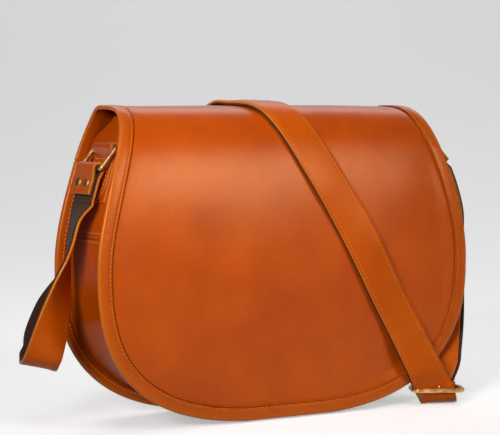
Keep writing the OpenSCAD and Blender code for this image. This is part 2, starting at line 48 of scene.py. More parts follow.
def linearColor(hexColor):
    # sRGB hex to the linear colour that Blender works in
    parts = [int(hexColor[i:i + 2], 16) / 255 for i in (1, 3, 5)]
    return tuple(p / 12.92 if p <= 0.04045 else ((p + 0.055) / 1.055) ** 2.4 for p in parts) + (1.0,)


def setInputs(tree, node, inputs):
    # a socket is linked, a hex colour is made linear, anything else is set as it is
    for key, value in inputs.items():
        if isinstance(value, bpy.types.NodeSocket):
            tree.links.new(value, node.inputs[key])
        else:
            isColor = isinstance(value, str) and value.startswith("#")
            node.inputs[key].default_value = linearColor(value) if isColor else value


def addNode(tree, kind, settings=None, inputs=None):
    node = tree.nodes.new(kind)
    for key, value in (settings or {}).items():
        setattr(node, key, value)
    setInputs(tree, node, inputs or {})
    return node


def newMaterial(name, inputs):
    material = bpy.data.materials.new(name)
    material.use_nodes = True
    shader = material.node_tree.nodes["Principled BSDF"]
    setInputs(material.node_tree, shader, inputs)
    return material, material.node_tree, shader


# a colour mix: its setting, then its sockets for how much of the second, the first, the second, the result
rgba = {"data_type": "RGBA"}
mixShare, mixFirst, mixSecond, mixResult = 0, 6, 7, 2


def patches(tree, place, noise, spread, first, second):
    # the second colour in soft patches over the first, and the noise that draws them.
    # noise is its size in mm, detail and roughness, spread where it starts, is full, and how much that is
    clouds = addNode(tree, "ShaderNodeTexNoise", None,
                     {"Vector": place, "Scale": 1000 / noise[0], "Detail": noise[1], "Roughness": noise[2]})
    share = addNode(tree, "ShaderNodeMapRange", None,
                    {"Value": clouds.outputs["Fac"], "From Min": spread[0], "From Max": spread[1],
                     "To Max": spread[2]})
    mix = addNode(tree, "ShaderNodeMix", rgba,
                  {mixShare: share.outputs["Result"], mixFirst: first, mixSecond: second})
    return mix.outputs[mixResult], clouds.outputs["Fac"]


leatherLook = {
    "poreMm": 1.1,         # drawn coarser than the real 0.3 mm, so that the pores show
    "poreDepth": 0.05,
    "creaseMm": 9.0,       # soft creases of pull-up leather
    "creaseDepth": 0.16,
    "cloudMm": 26.0,       # lighter patches where the wax has moved
    "cloudShare": 0.4,
    "mottleMm": 70.0,      # slow changes of the dye
    "shine": "#FFCE96",    # waxed leather shines warm
}


def leatherMaterial(name, dark, base, light, polish, edge=None, roughness=0.3, rumple=1.0):
    # smooth pull-up leather, drum dyed and waxed: slow dye changes, fine pores, soft creases
    look = leatherLook
    material, tree, shader = newMaterial(name, {"Specular IOR Level": polish, "Specular Tint": look["shine"]})
    place = addNode(tree, "ShaderNodeTexCoord").outputs["Object"]
    color = patches(tree, place, (look["mottleMm"], 4.0, 0.55), (0.35, 0.68, 1.0), dark, base)[0]
    color, cloud = patches(tree, place, (look["cloudMm"], 5.0, 0.6), (0.5, 0.85, look["cloudShare"]),
                           color, light)
    if edge:
        # the rolled or cut edge, lighter: partly dye rubbed off, partly a painted highlight where the edge
        # rounds over
        worn = addNode(tree, "ShaderNodeAttribute", {"attribute_name": "worn"})
        color = addNode(tree, "ShaderNodeMix", rgba,
                        {mixShare: worn.outputs["Fac"], mixFirst: color, mixSecond: edge}).outputs[mixResult]
    pores = addNode(tree, "ShaderNodeTexVoronoi", {"feature": "DISTANCE_TO_EDGE"},
                    {"Vector": place, "Scale": 1000 / look["poreMm"]})
    poreBump = addNode(tree, "ShaderNodeBump", None,
                       {"Height": pores.outputs["Distance"], "Strength": look["poreDepth"],
                        "Distance": 0.0004})
    creases = addNode(tree, "ShaderNodeTexNoise", None,
                      {"Vector": place, "Scale": 1000 / look["creaseMm"], "Detail": 6.0, "Roughness": 0.62})
    creaseBump = addNode(tree, "ShaderNodeBump", None,
                         {"Height": creases.outputs["Fac"], "Normal": poreBump.outputs["Normal"],
                          "Strength": look["creaseDepth"] * rumple, "Distance": 0.0012})
    shine = addNode(tree, "ShaderNodeMapRange", None,
                    {"Value": cloud, "To Min": roughness - 0.03, "To Max": roughness + 0.06})
    setInputs(tree, shader, {"Base Color": color, "Normal": creaseBump.outputs["Normal"],
                             "Roughness": shine.outputs["Result"]})
    return material


webbingLook = {
    "ribMm": 1.9,          # rib pitch along the strap
    "yarnMm": 1.2,         # yarn pitch across it
    "fuzzMm": 1.11,        # loose fibre, drawn coarser than the real 0.1 mm
    "dark": "#24140D", "light": "#5E3E2C", "fibre": "#4A2F20",
}


def webbingMaterial(name):
    # cotton webbing, woven with ribs across its width: matt, with a faint sheen of fibre
    look = webbingLook
    material, tree, shader = newMaterial(name, {"Roughness": 0.9, "Sheen Weight": 0.05,
                                                "Specular IOR Level": 0.1})
    cloth = addNode(tree, "ShaderNodeUVMap", {"uv_map": "clothUv"}).outputs["UV"]
    split = addNode(tree, "ShaderNodeSeparateXYZ", None, {"Vector": cloth})
    waves = []
    for axis, pitch in (("Y", look["ribMm"]), ("X", look["yarnMm"])):
        turn = addNode(tree, "ShaderNodeMath", {"operation": "MULTIPLY"},
                       {0: split.outputs[axis], 1: 2 * math.pi * 1000 / pitch})
        waves.append(addNode(tree, "ShaderNodeMath", {"operation": "SINE"}, {0: turn.outputs[0]}).outputs[0])
    weave = addNode(tree, "ShaderNodeMath", {"operation": "MULTIPLY_ADD"}, {0: waves[1], 1: 0.5, 2: waves[0]})
    level = addNode(tree, "ShaderNodeMapRange", None,
                    {"Value": weave.outputs[0], "From Min": -1.5, "From Max": 1.5})
    place = addNode(tree, "ShaderNodeTexCoord").outputs["Object"]
    fuzz = addNode(tree, "ShaderNodeTexNoise", None,
                   {"Vector": place, "Scale": 1000 / look["fuzzMm"], "Detail": 3.0})
    shade = addNode(tree, "ShaderNodeMix", rgba,
                    {mixShare: level.outputs["Result"], mixFirst: look["dark"], mixSecond: look["light"]})
    color = addNode(tree, "ShaderNodeMix", rgba,
                    {mixShare: fuzz.outputs["Fac"], mixFirst: shade.outputs[mixResult],
                     mixSecond: look["fibre"]}).outputs[mixResult]
    bump = addNode(tree, "ShaderNodeBump", None,
                   {"Height": level.outputs["Result"], "Strength": 0.8, "Distance": 0.0005})
    setInputs(tree, shader, {"Base Color": color, "Normal": bump.outputs["Normal"]})
    return material


metalLook = {"tarnishMm": 7.0, "grainMm": 0.8, "grainDepth": 0.08}


def metalMaterial(name, dark, light, roughness):
    # cast or pressed metal, satin: polished where hands touch it, darker in between
    look = metalLook
    material, tree, shader = newMaterial(name, {"Metallic": 1.0})
    place = addNode(tree, "ShaderNodeTexCoord").outputs["Object"]
    color, tarnish = patches(tree, place, (look["tarnishMm"], 5.0, 0.5), (0.36, 0.6, 1.0), dark, light)
    rough = addNode(tree, "ShaderNodeMapRange", None,
                    {"Value": tarnish, "To Min": roughness + 0.12, "To Max": roughness - 0.05})
    grain = addNode(tree, "ShaderNodeTexNoise", None,
                    {"Vector": place, "Scale": 1000 / look["grainMm"], "Detail": 2.0})
    bump = addNode(tree, "ShaderNodeBump", None,
                   {"Height": grain.outputs["Fac"], "Strength": look["grainDepth"], "Distance": 0.0003})
    setInputs(tree, shader, {"Base Color": color, "Roughness": rough.outputs["Result"],
                             "Normal": bump.outputs["Normal"]})
    return material


def threadMaterial(name, color):
    # waxed linen thread: matt, its twist too fine to draw
    return newMaterial(name, {"Base Color": color, "Roughness": 0.7, "Specular IOR Level": 0.1})[0]


# the dye's dark, middle and light tones, the polish, and the lighter tone of an edge, rubbed and with a
# painted highlight.
# flap and tabs: burnished by hands, so they shine the most
pullUpLeather = leatherMaterial("pullUpLeather", "#AC3E00", "#C04B00", "#CA580A", 0.56, "#CC6A22")
# panels and gusset: the same hide, hardly touched, nearly matt
bodyLeather = leatherMaterial("bodyLeather", "#B04400", "#C04E02", "#C85C0C", 0.06)
# inside: unpolished, its dye darker
liningLeather = leatherMaterial("liningLeather", "#7A2C04", "#8E3606", "#9A3F0C", 0.1, roughness=0.6)
# bindings: thin leather turned over the edges, so it is rumpled, and lighter on the roll, partly rubbed and
# partly a painted highlight
bindingLeather = leatherMaterial("bindingLeather", "#AE4400", "#BE4C00", "#C65A08", 0.42, "#C66018",
                                 roughness=0.27, rumple=2.4)
# straps: a lighter dye, and lighter cut edges that show the raw hide and carry a painted highlight
strapLeather = leatherMaterial("strapLeather", "#B64800", "#C85404", "#D26412", 0.3, "#D27A2A")
cottonWebbing = webbingMaterial("cottonWebbing")
antiqueBrass = metalMaterial("antiqueBrass", "#B07C42", "#EBBE80", 0.38)      # rings and buckle, cast
agedBronze = metalMaterial("agedBronze", "#8E5C34", "#C08A58", 0.45)          # rivets, pressed and browned
brushedSteel = metalMaterial("brushedSteel", "#8C8880", "#BEBAB2", 0.35)      # the snap, pressed and brushed
waxedThread = threadMaterial("waxedThread", "#D27C28")      # a little lighter than the leather
darkerThread = threadMaterial("darkerThread", "#B45C12")    # darker, on the strap's lengths at the sides of the bag and behind it
paleThread = threadMaterial("paleThread", "#DE9A58")        # hardly touched, on the body and the tabs
print("saddle bag: materials made")


# the bag's lines, as in the part's source, in mm
bag = {
    "halfWidth": 165.0, "baseHeight": 1.0,            # the body's outline
    "flapHalf": 169.6, "flapLow": 2.4,                # the flap's outline
    "widest": 123.0, "top": 247.5, "hinge": 205.0,    # heights
    "middle": 105.0,                                  # from here every edge lies outwards
    "back": 42.0, "belly": -46.0, "foot": -41.0, "crest": 19.0,
    "bendStart": 80.0, "frontPower": 3.83,
    "baseCut": 0.9, "curveAcross": 2.765, "curveUp": 2.565, "taper": 0.37, "bend": 46.0,
}


def lowerWidth(half, low, z):
    tall = bag["widest"] - low
    rest = 1 - ((z - low) * (tall - bag["baseCut"]) / tall + bag["baseCut"]) / tall
    cosine = np.clip(rest, 0, 1) ** (bag["curveUp"] / 2)
    return half * np.sqrt(np.clip(1 - cosine ** 2, 0, 1)) ** (2 / bag["curveAcross"])


def halfWidth(half, low, z):
    z = np.asarray(z, float)
    rise = np.maximum(z - bag["widest"], 0)
    upper = half - bag["taper"] * (np.sqrt(rise ** 2 + bag["bend"] ** 2) - bag["bend"])
    return np.where(z < bag["widest"], lowerWidth(half, low, z), upper)


def frontY(z):
    # how far forward the flap's face is at a height
    z = np.asarray(z, float)
    u = np.clip((z - bag["bendStart"]) / (bag["top"] - bag["bendStart"]), 0, 1)
    low = bag["foot"] + (bag["belly"] - bag["foot"]) * np.minimum(z, bag["bendStart"]) / bag["bendStart"]
    return low + (bag["crest"] - bag["belly"]) * (1 - (1 - u ** bag["frontPower"]) ** (1 / bag["frontPower"]))


def frontSlope(z, top, count):
    # how the flap's face leans at a height, measured on a ladder of heights
    heights = np.linspace(0, top, count)
    return np.interp(z, heights, np.gradient(frontY(heights), heights))


def unit(v):
    v = np.asarray(v, float)
    return v / np.maximum(np.linalg.norm(v, axis=-1, keepdims=True), 1e-12)


def runAlong(points):
    # the length along a line at each of its points
    return np.concatenate([[0], np.cumsum(np.linalg.norm(np.diff(points, axis=0), axis=1))])


def evenly(points, step):
    # the same line with points an even step apart
    points = np.asarray(points, float)
    run = runAlong(points)
    keep = np.concatenate([[True], np.diff(run) > 1e-9])
    points, run = points[keep], run[keep]
    at = np.linspace(0, run[-1], max(2, int(round(run[-1] / step)) + 1))
    return np.stack([np.interp(at, run, points[:, k]) for k in range(points.shape[1])], 1)


def lineNormals(line):
    # of a flat line, a quarter turn to the left of the way it runs
    way = unit(np.gradient(line, axis=0))
    return np.stack([-way[:, 1], way[:, 0]], 1)


def rightOutline(half, low, top, step):
    # the right half of an outline [x, z], from the base's middle up
    tall = bag["widest"] - low
    start = math.acos((1 - bag["baseCut"] / tall) ** (bag["curveUp"] / 2))
    turn = np.linspace(start, math.pi / 2, 500)
    lower = np.stack([half * np.sin(turn) ** (2 / bag["curveAcross"]),
                      low + (tall - tall * np.cos(turn) ** (2 / bag["curveUp"]) - bag["baseCut"]) * tall
                      / (tall - bag["baseCut"])], 1)
    heights = np.linspace(bag["widest"], top, 200)[1:]
    upper = np.stack([halfWidth(half, low, heights), heights], 1)
    return evenly(np.vstack([[[0, low]], lower, upper]), step)


def bodyOutline(top, step):
    return rightOutline(bag["halfWidth"], bag["baseHeight"], top, step)


def bothSides(right):
    # a right half made whole, from the left top along the base to the right top
    left = right[1:][::-1].copy()
    left[:, 0] *= -1
    return np.vstack([left, right])


def skipBase(outline):
    # without the flat base, where rows from side to side would lie on each other
    return outline[int(np.argmax(outline[:, 1] > outline[0, 1] + 0.4)):]


def crowded(count, power):
    # shares from -1 to 1 that crowd towards the sides, the more the higher the power
    u = np.linspace(-1, 1, count)
    return np.sign(u) * (1 - (1 - np.abs(u)) ** power)


def flapProfile():
    # the flap's outer face in the side view [y, z], from its lower edge over the crest to the hinge line
    heights = np.linspace(bag["flapLow"], bag["bendStart"], 60)
    lower = np.stack([frontY(heights), heights], 1)
    turn = np.linspace(0, math.pi / 2, 400)
    power = 2 / bag["frontPower"]
    rise = bag["top"] - bag["bendStart"]
    front = np.stack([bag["belly"] + (bag["crest"] - bag["belly"]) * (1 - np.cos(turn) ** power),
                      bag["bendStart"] + rise * np.sin(turn) ** power], 1)
    arch = np.stack([bag["crest"] + (bag["back"] - bag["crest"]) * np.sin(turn),
                     bag["hinge"] + (bag["top"] - bag["hinge"]) * np.cos(turn)], 1)
    return evenly(np.vstack([lower, front[1:], arch[1:]]), step=0.8)


def meshPiece(name, verts, faces, material, uv=None, worn=None, smooth=True):
    # verts and uv in mm; also, at each vertex, how much lighter the leather is, for rubbed dye and a painted
    # highlight on its edge
    mesh = bpy.data.meshes.new(name)
    places = [tuple(v) for v in np.asarray(verts, float) * mm]
    mesh.from_pydata(places, [], [tuple(int(i) for i in f) for f in faces])
    if uv is not None:
        layer = mesh.uv_layers.new(name="clothUv")
        order = np.zeros(len(mesh.loops), int)
        mesh.loops.foreach_get("vertex_index", order)
        layer.data.foreach_set("uv", (np.asarray(uv)[order] * mm).ravel().astype(np.float32))
    if worn is not None:
        mesh.attributes.new("worn", "FLOAT", "POINT").data.foreach_set("value", np.asarray(worn, np.float32))
    mesh.materials.append(material)
    mesh.polygons.foreach_set("use_smooth", [smooth] * len(mesh.polygons))
    mesh.update()
    piece = bpy.data.objects.new(name, mesh)
    bpy.context.scene.collection.objects.link(piece)
    return piece


def gridFaces(rows, cols, flip=False):
    i, j = np.meshgrid(np.arange(rows - 1), np.arange(cols - 1), indexing="ij")
    a = (i * cols + j).ravel()
    quads = np.stack([a, a + 1, a + cols + 1, a + cols], 1)
    return quads[:, ::-1] if flip else quads


def sweep(name, path, side, up, section, material, worn=None, widths=1.0):
    # a closed section [across, over] carried along a line, with capped ends
    rows, cols = len(path), len(section)
    widths = np.broadcast_to(widths, rows)[:, None, None]
    verts = (path[:, None, :] + side[:, None, :] * section[None, :, :1] * widths
             + up[:, None, :] * section[None, :, 1:])
    uv = np.stack([np.tile(section[:, 0], rows), np.repeat(runAlong(path), cols)], 1)
    i, j = np.meshgrid(np.arange(rows - 1), np.arange(cols), indexing="ij")
    a, b = (i * cols + j).ravel(), (i * cols + (j + 1) % cols).ravel()
    faces = [tuple(f) for f in np.stack([a, a + cols, b + cols, b], 1)]
    faces += [tuple(range(cols)), tuple((rows - 1) * cols + k for k in reversed(range(cols)))]
    rubAndHighlightAll = None if worn is None else np.tile(worn, rows)
    piece = meshPiece(name, verts.reshape(-1, 3), faces, material, uv, rubAndHighlightAll)
    work = bmesh.new()
    work.from_mesh(piece.data)
    bmesh.ops.recalc_face_normals(work, faces=work.faces)
    work.to_mesh(piece.data)
    work.free()
    piece.data.update()
    return piece


def applied(piece):
    # the piece with its modifiers worked into its mesh
    bpy.context.view_layer.update()
    final = bpy.data.meshes.new_from_object(piece.evaluated_get(bpy.context.evaluated_depsgraph_get()))
    piece.modifiers.clear()
    piece.data = final
    final.name = piece.name
    return piece


def thicken(piece, depth, rim):
    # gives a surface its leather's thickness, half to each side, and rounds its cut edge by rim mm
    solid = piece.modifiers.new("thickness", "SOLIDIFY")
    solid.thickness, solid.offset, solid.use_even_offset = depth * mm, 0.0, True
    if rim:
        edge = piece.modifiers.new("roundEdge", "BEVEL")
        edge.width, edge.segments = rim * mm, 2
        edge.limit_method, edge.angle_limit = "ANGLE", math.radians(50)
    return applied(piece)


def settle(piece, body, slot, *nodes, other=None, start=None, end=None):
    # hangs the piece on the body that carries it, or, given another body, only bakes its place into its mesh;
    # and hides the CAD nodes it stands for
    if other:
        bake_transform(piece)
        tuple(start)
        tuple(end)
    else:
        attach(piece, body)
    if nodes:
        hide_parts(*nodes)


# leather on the flap: the flap as the other body, and two points by the hinge line; settle only bakes such a
# piece in place, so it does not lift with the flap
flapBend = {"other": "flap", "start": (0, 0.041, 0.22), "end": (0, 0.027, 0.22)}

panels = {
    "leather": 2.0, "rim": 0.35,     # mm
    "step": 3.0,                     # the grid's rows, mm apart
    "across": 61, "crowd": 1.15,     # its columns
    "inset": 0.4,                    # how far the panels stay inside the body's outline
    "backMiddle": 41.0,              # the back leather's middle
    "backWave": 0.5, "waveShare": 0.6, "waveAcross": 47.0, "waveUp": 39.0, "waveHalf": 120.0,
    "waveLow": 8.0, "waveFade": 30.0,
    "frontTop": 229.0, "frontBehind": 6.2,    # how far the front panel lies behind the flap's face
    "ladder": (247, 500),            # how high and with how many rungs its slope is measured
}


def panelPiece(name, top, place, flip, material):
    # rows of points between the two sides of the body's outline
    outer = bodyOutline(top, panels["step"])
    rows = skipBase(outer + lineNormals(outer) * panels["inset"])
    x = rows[:, :1] * crowded(panels["across"], panels["crowd"])
    z = np.repeat(rows[:, 1:], panels["across"], 1)
    faces = gridFaces(len(rows), panels["across"], flip)
    return thicken(meshPiece(name, place(x, z), faces, material), panels["leather"], panels["rim"])


def backPlace(x, z):
    # the back wavers a little, away from its edges
    wave = panels["backWave"] * np.sin(x / panels["waveAcross"] + 0.6) * np.sin(z / panels["waveUp"])
    wave *= np.clip((z - panels["waveLow"]) / panels["waveFade"], 0, 1)
    y = panels["backMiddle"] - np.abs(wave) * panels["waveShare"] * (np.abs(x) < panels["waveHalf"])
    return np.stack([x, y, z], -1).reshape(-1, 3)


def frontPlace(x, z):
    # the front panel follows the flap's face from behind
    lean = np.arctan(frontSlope(z, *panels["ladder"]))
    behind = panels["frontBehind"]
    return np.stack([x, frontY(z) + behind * np.cos(lean), z - behind * np.sin(lean)], -1).reshape(-1, 3)


settle(panelPiece("backPanel", bag["hinge"], backPlace, False, bodyLeather), "bag", "leather", "back_panel")
settle(panelPiece("frontPanel", panels["frontTop"], frontPlace, True, liningLeather),
       "bag", "leather_inner", "front_panel")

gusset = {
    "leather": 1.8, "rim": 0.4, "step": 2.0,
    "outlineTop": 246.0,
    # from the flange's edge to the wall: [inwards, along the depth]
    "bends": [(0.4, 0), (3, 0), (6, 0), (7.6, 0.25), (8.6, 1.3), (9, 3), (9, 5.5)],
    "wall": 9, "wallRows": 22, "wallMargin": 8,
    "frontGap": 8.2, "backFace": 39.0,
    "bottomTop": 147.2, "sideLow": 147.6,      # where the bottom piece and the side pieces meet
    "tuck": 3.0,                               # how far the side walls tuck in below the tabs
    "tuckLow": 20.0, "tuckTall": 128.0, "tuckRound": 1.4,
    "lapRows": (143.8, 150.6), "lapFront": -30.0, "lapBack": 33.0, "lapIn": 8.0,    # stitches of the lap seam
    # the upper edge slopes over to the hinge line: depths, then heights
    "topDepths": [-8, 0, 19, 36, 38.6, 40], "topHeights": [226.5, 240.6, 239.0, 221, 207.6, 205],
}


def gussetPiece(name, side):
    # the strip between the panels: a flange at the front, the wall, a flange at the back.
    # side is -1 or 1 for a side piece, 0 for the bottom
    line = bodyOutline(gusset["outlineTop"], gusset["step"])
    height = gusset["sideLow"] if side else gusset["bottomTop"]
    end = [[float(halfWidth(bag["halfWidth"], bag["baseHeight"], height)), height]]
    if side:
        line = np.vstack([end, line[line[:, 1] > height]])
    else:
        line = bothSides(np.vstack([line[line[:, 1] < height], end]))
    bends, wall, back, verts = gusset["bends"], gusset["wall"], gusset["backFace"], []
    for (x, z), inward in zip(line, lineNormals(line)):
        front = float(frontY(z)) + gusset["frontGap"]
        ring = [(d, front + y) for d, y in bends]
        ring += [(wall, y) for y in np.linspace(front + gusset["wallMargin"], back - gusset["wallMargin"],
                                                gusset["wallRows"])]
        ring += [(d, back - y) for d, y in bends[::-1]]
        low = max(0.0, math.sin(math.pi * min(1, max(0, (z - gusset["tuckLow"]) / gusset["tuckTall"]))))
        for d, y in ring:
            if d == wall:
                depth = max(0.0, min(1.0, (y - front) / (back - front)))
                d += gusset["tuck"] * math.sin(math.pi * depth) ** gusset["tuckRound"] * low
            verts.append((x + inward[0] * d, y, z + inward[1] * d))
    grid = np.array(verts).reshape(len(line), len(ring), 3)
    if side:
        for column in grid.transpose(1, 0, 2):
            # each column is stretched to end on the sloping upper edge
            top = np.interp(column[-1, 1], gusset["topDepths"], gusset["topHeights"])
            reach = np.linspace(column[0, 2], top, len(line))
            order = np.argsort(column[:, 2])
            for axis in (0, 1):
                column[:, axis] = np.interp(reach, column[order, 2], column[order, axis])
            column[:, 2] = reach
    if side < 0:
        grid[:, :, 0] *= -1
    piece = meshPiece(name, grid.reshape(-1, 3), gridFaces(len(line), len(ring), side >= 0), bodyLeather)
    thicken(piece, gusset["leather"], gusset["rim"])
    settle(piece, "bag", "leather", "gusset_" + name[6:].lower())


for name, side in (("gussetBottom", 0), ("gussetRight", 1), ("gussetLeft", -1)):
    gussetPiece(name, side)
print("saddle bag: panels and gusset made")


def edgeFrames(line, facing):
    # per point of an edge: the way out of the panel, and the panel's outer face
    way = unit(np.gradient(line, axis=0))
    facing = unit(facing - way * np.sum(facing * way, 1, keepdims=True))
    out = unit(np.cross(way, facing))
    away = np.sum(out * (line * np.array([1, 0, 1]) - np.array([0, 0, bag["middle"]])), 1)
    return out * np.where(np.abs(away) > 1, np.sign(away), 1)[:, None], facing


bindings = {
    "cover": 0.65,                             # the binding's thickness over what it wraps, mm
    "roll": 1.0, "rollRadius": 1.9,            # how far it stands past the edge, and its roundness
    "dip": 0.35,                               # how deep the stitches pull it in
    "bodyWidth": 7.0, "bodyGroove": 5.04, "bodySeam": 5.0, "bodyWraps": 4.0,
    "flapWidth": 11.0, "flapSeam": 9.0, "flapWraps": 2.2,
    # where the binding turns lighter towards its roll: rubbed dye and a painted highlight
    "rubHighlightFrom": -5.0, "flapRubHighlightFrom": -4.5, "rubHighlightAt": 0.6, "rubHighlightPower": 1.3,
    "step": 2.0, "frontTop": 226.0, "frontBehind": 5.2, "ladder": (240, 800),
    "crestLow": 150.0, "crestHalf": 60.0,      # past these the flap's edge runs over the crest
}


def lipSection(width, wraps, groove):
    # a U of leather around an edge: [outwards, over], open towards the panel.
    # over 0 is the outer face of what it wraps, and wraps is how thick that is
    top, low, back, dip = bindings["cover"], -wraps - bindings["cover"], -wraps, bindings["dip"]
    middle, half, radius = (top + low) / 2, (top - low) / 2, bindings["rollRadius"]
    outline = [(-width, 0.15), (-width + 0.25, top - 0.25), (-width + 1.0, top),
               (-groove - 1.1, top), (-groove, top - dip), (-groove + 1.2, top + 0.05),
               (-groove + 2.6, top + 0.25), (-2.0, top + 0.2)]
    outline += [(bindings["roll"] - radius + radius * math.cos(t), middle + half * math.sin(t))
                for t in np.linspace(math.pi / 2, -math.pi / 2, 13)]
    outline += [(-2.0, low), (-groove, low + dip * 0.6), (-width + 1.0, low), (-width, back - 0.15)]
    outline += [(-width + 1.5, back), (-1.0, back), (-0.2, back / 2), (-1.0, 0), (-width + 1.5, 0)]
    return np.array(outline)


def bindingPiece(name, frames, section, rubHighlightFrom):
    # the roll is lighter, rubbed and with a painted highlight, and the flat part is not
    worn = np.clip((section[:, 0] - rubHighlightFrom) / (bindings["rubHighlightAt"] - rubHighlightFrom), 0, 1)
    return sweep(name, *frames, section, bindingLeather, worn ** bindings["rubHighlightPower"])


# around the back panel
edge = bothSides(bodyOutline(bag["hinge"] - bindings["cover"], bindings["step"]))
line = np.stack([edge[:, 0], np.full(len(edge), bag["back"]), edge[:, 1]], 1)
backFrames = (line, *edgeFrames(line, np.tile([0.0, 1, 0], (len(line), 1))))
section = lipSection(bindings["bodyWidth"], bindings["bodyWraps"], bindings["bodyGroove"])
settle(bindingPiece("backBinding", backFrames, section, bindings["rubHighlightFrom"]),
       "bag", "binding", "back_binding")

# around the front panel, under the flap
edge = bothSides(bodyOutline(bindings["frontTop"], bindings["step"]))
slope = frontSlope(edge[:, 1], *bindings["ladder"])
normal = unit(np.stack([np.zeros(len(slope)), -np.ones(len(slope)), slope], 1))
line = np.stack([edge[:, 0], frontY(edge[:, 1]), edge[:, 1]], 1) - normal * bindings["frontBehind"]
frontFrames = (line, *edgeFrames(line, normal))
settle(bindingPiece("frontBinding", frontFrames, section, bindings["rubHighlightFrom"]),
       "bag", "binding", "front_binding")

profile = flapProfile()


def rearTaper(y):
    # behind the crest the flap narrows until it meets the back panel's width at the hinge line
    t = np.clip((np.asarray(y, float) - bag["crest"]) / (bag["back"] - bag["crest"]), 0, 1)
    return (bag["flapHalf"] - bag["halfWidth"]) * t * t * (3 - 2 * t)


def flapSide(lower, every, inset):
    # the flap's right side from its lowest point to the hinge line: x, y, z and the way it faces in y and z.
    # lower is its outline [x, z] up to the widest height, and every thins the points above that
    front, facing = profile[:, 1] <= bag["widest"], lineNormals(profile)
    upper = profile[~front][::every]
    width = halfWidth(bag["flapHalf"], bag["flapLow"], upper[:, 1]) - rearTaper(upper[:, 0]) - inset
    columns = [np.concatenate([lower[:, 0], width]), np.concatenate([frontY(lower[:, 1]), upper[:, 0]]),
               np.concatenate([lower[:, 1], upper[:, 1]])]
    for k in (0, 1):
        ahead = np.interp(lower[:, 1], profile[front, 1], facing[front, k])
        columns.append(np.concatenate([ahead, facing[~front, k][::every]]))
    return columns


def flapEdge():
    # the flap's edge in space, with the way out and the flap's facing at each point
    lower = rightOutline(bag["flapHalf"], bag["flapLow"], bag["widest"], step=1.0)
    x, y, z, ny, nz = flapSide(lower[lower[:, 1] <= bag["widest"]], 1, 0)
    right = evenly(np.stack([x, y, z, np.zeros_like(x), ny, nz], 1), bindings["step"])
    whole = bothSides(right)
    line = whole[:, :3]
    out, facing = edgeFrames(line, unit(whole[:, 3:]))
    # near the crest only the way along X tells in from out
    crest = (line[:, 2] > bindings["crestLow"]) & (np.abs(line[:, 0]) > bindings["crestHalf"])
    return line, out * np.where(crest & (out[:, 0] * line[:, 0] < 0), -1, 1)[:, None], facing


# around the flap, over the crest and down to the hinge line
flapFrames = flapEdge()
section = lipSection(bindings["flapWidth"], bindings["flapWraps"], bindings["flapSeam"])
settle(bindingPiece("flapBinding", flapFrames, section, bindings["flapRubHighlightFrom"]),
       "bag", "binding", "flap_binding", **flapBend)
print("saddle bag: bindings made")

flapShape = {
    "leather": 2.0, "step": 2.2, "across": 121, "crowd": 1.25,
    "under": 1.1,          # how far the leather's middle lies under the outer face
    "inset": 1.5,          # how far its edge stays inside the binding's roll
    "bound": 8.5,          # how far in the binding reaches
    "baseHigh": 130.0,     # above this it bounds only the sides
    "puffMm": 0.5, "puffReach": 14.0,      # swelling of the leather inside its binding
    "pullMm": 0.6, "pullReach": 4.5,       # how far the stitched edge pulls the leather in
    "waveMm": 0.5,         # slow waves that the soft light picks out
    "waves": [(0.5, 31, 44, 0.4), (0.3, 19, -27, 1.7), (0.35, 60, 23, 2.1)],    # share, across, along, phase
    "waveInside": 25.0, "waveRear": 40.0,      # how they fade towards the binding and the hinge line
    "sinkMm": 2.6,         # the hollows between the strap and the binding at the right
    "sinks": [(146, 130, 27, 60), (106, 30, 28, 26)],      # their middles x and z, and half sizes
    "sinkInside": 10.0,
}


def flapSurface():
    shape = flapShape
    lower = rightOutline(bag["flapHalf"], bag["flapLow"], bag["widest"], shape["step"])
    lower = skipBase(lower + lineNormals(lower) * shape["inset"])
    side, *rows = flapSide(lower, 3, shape["inset"])
    y, z, ny, nz = (row[:, None] for row in rows)
    x = side[:, None] * crowded(shape["across"], shape["crowd"])
    run = runAlong(np.stack(rows[:2], 1))[:, None]
    # how deep each point lies inside the binding's inner edge
    fromBase = z - np.interp(np.abs(x), lower[:, 0], lower[:, 1]) - shape["bound"]
    fromBase = np.where(z < shape["baseHigh"], fromBase, np.inf)
    inside = np.clip(np.minimum(side[:, None] - np.abs(x) - shape["bound"], fromBase), 0, None)
    swell = (shape["puffMm"] * (1 - np.exp(-inside / shape["puffReach"]))
             - shape["pullMm"] * np.exp(-inside / shape["pullReach"]))
    wave = sum(share * np.sin(x / across + run / down + phase)
               for share, across, down, phase in shape["waves"])
    fade = np.clip(inside / shape["waveInside"], 0, 1) * np.clip((run[-1] - run) / shape["waveRear"], 0, 1)
    sink = sum(np.exp(-((x - atX) / wide) ** 2 - ((z - atZ) / tall) ** 2)
               for atX, atZ, wide, tall in shape["sinks"])
    sink = sink * np.clip(inside / shape["sinkInside"], 0, 1)
    lift = swell - shape["under"] + shape["waveMm"] * wave * fade - shape["sinkMm"] * sink
    points = np.stack([x, y + ny * lift, z + nz * lift], -1).reshape(-1, 3)
    return meshPiece("flapLeather", points, gridFaces(len(side), shape["across"], True), pullUpLeather)


settle(thicken(flapSurface(), flapShape["leather"], 0), "bag", "leather", "flap", **flapBend)
print("saddle bag: flap made")

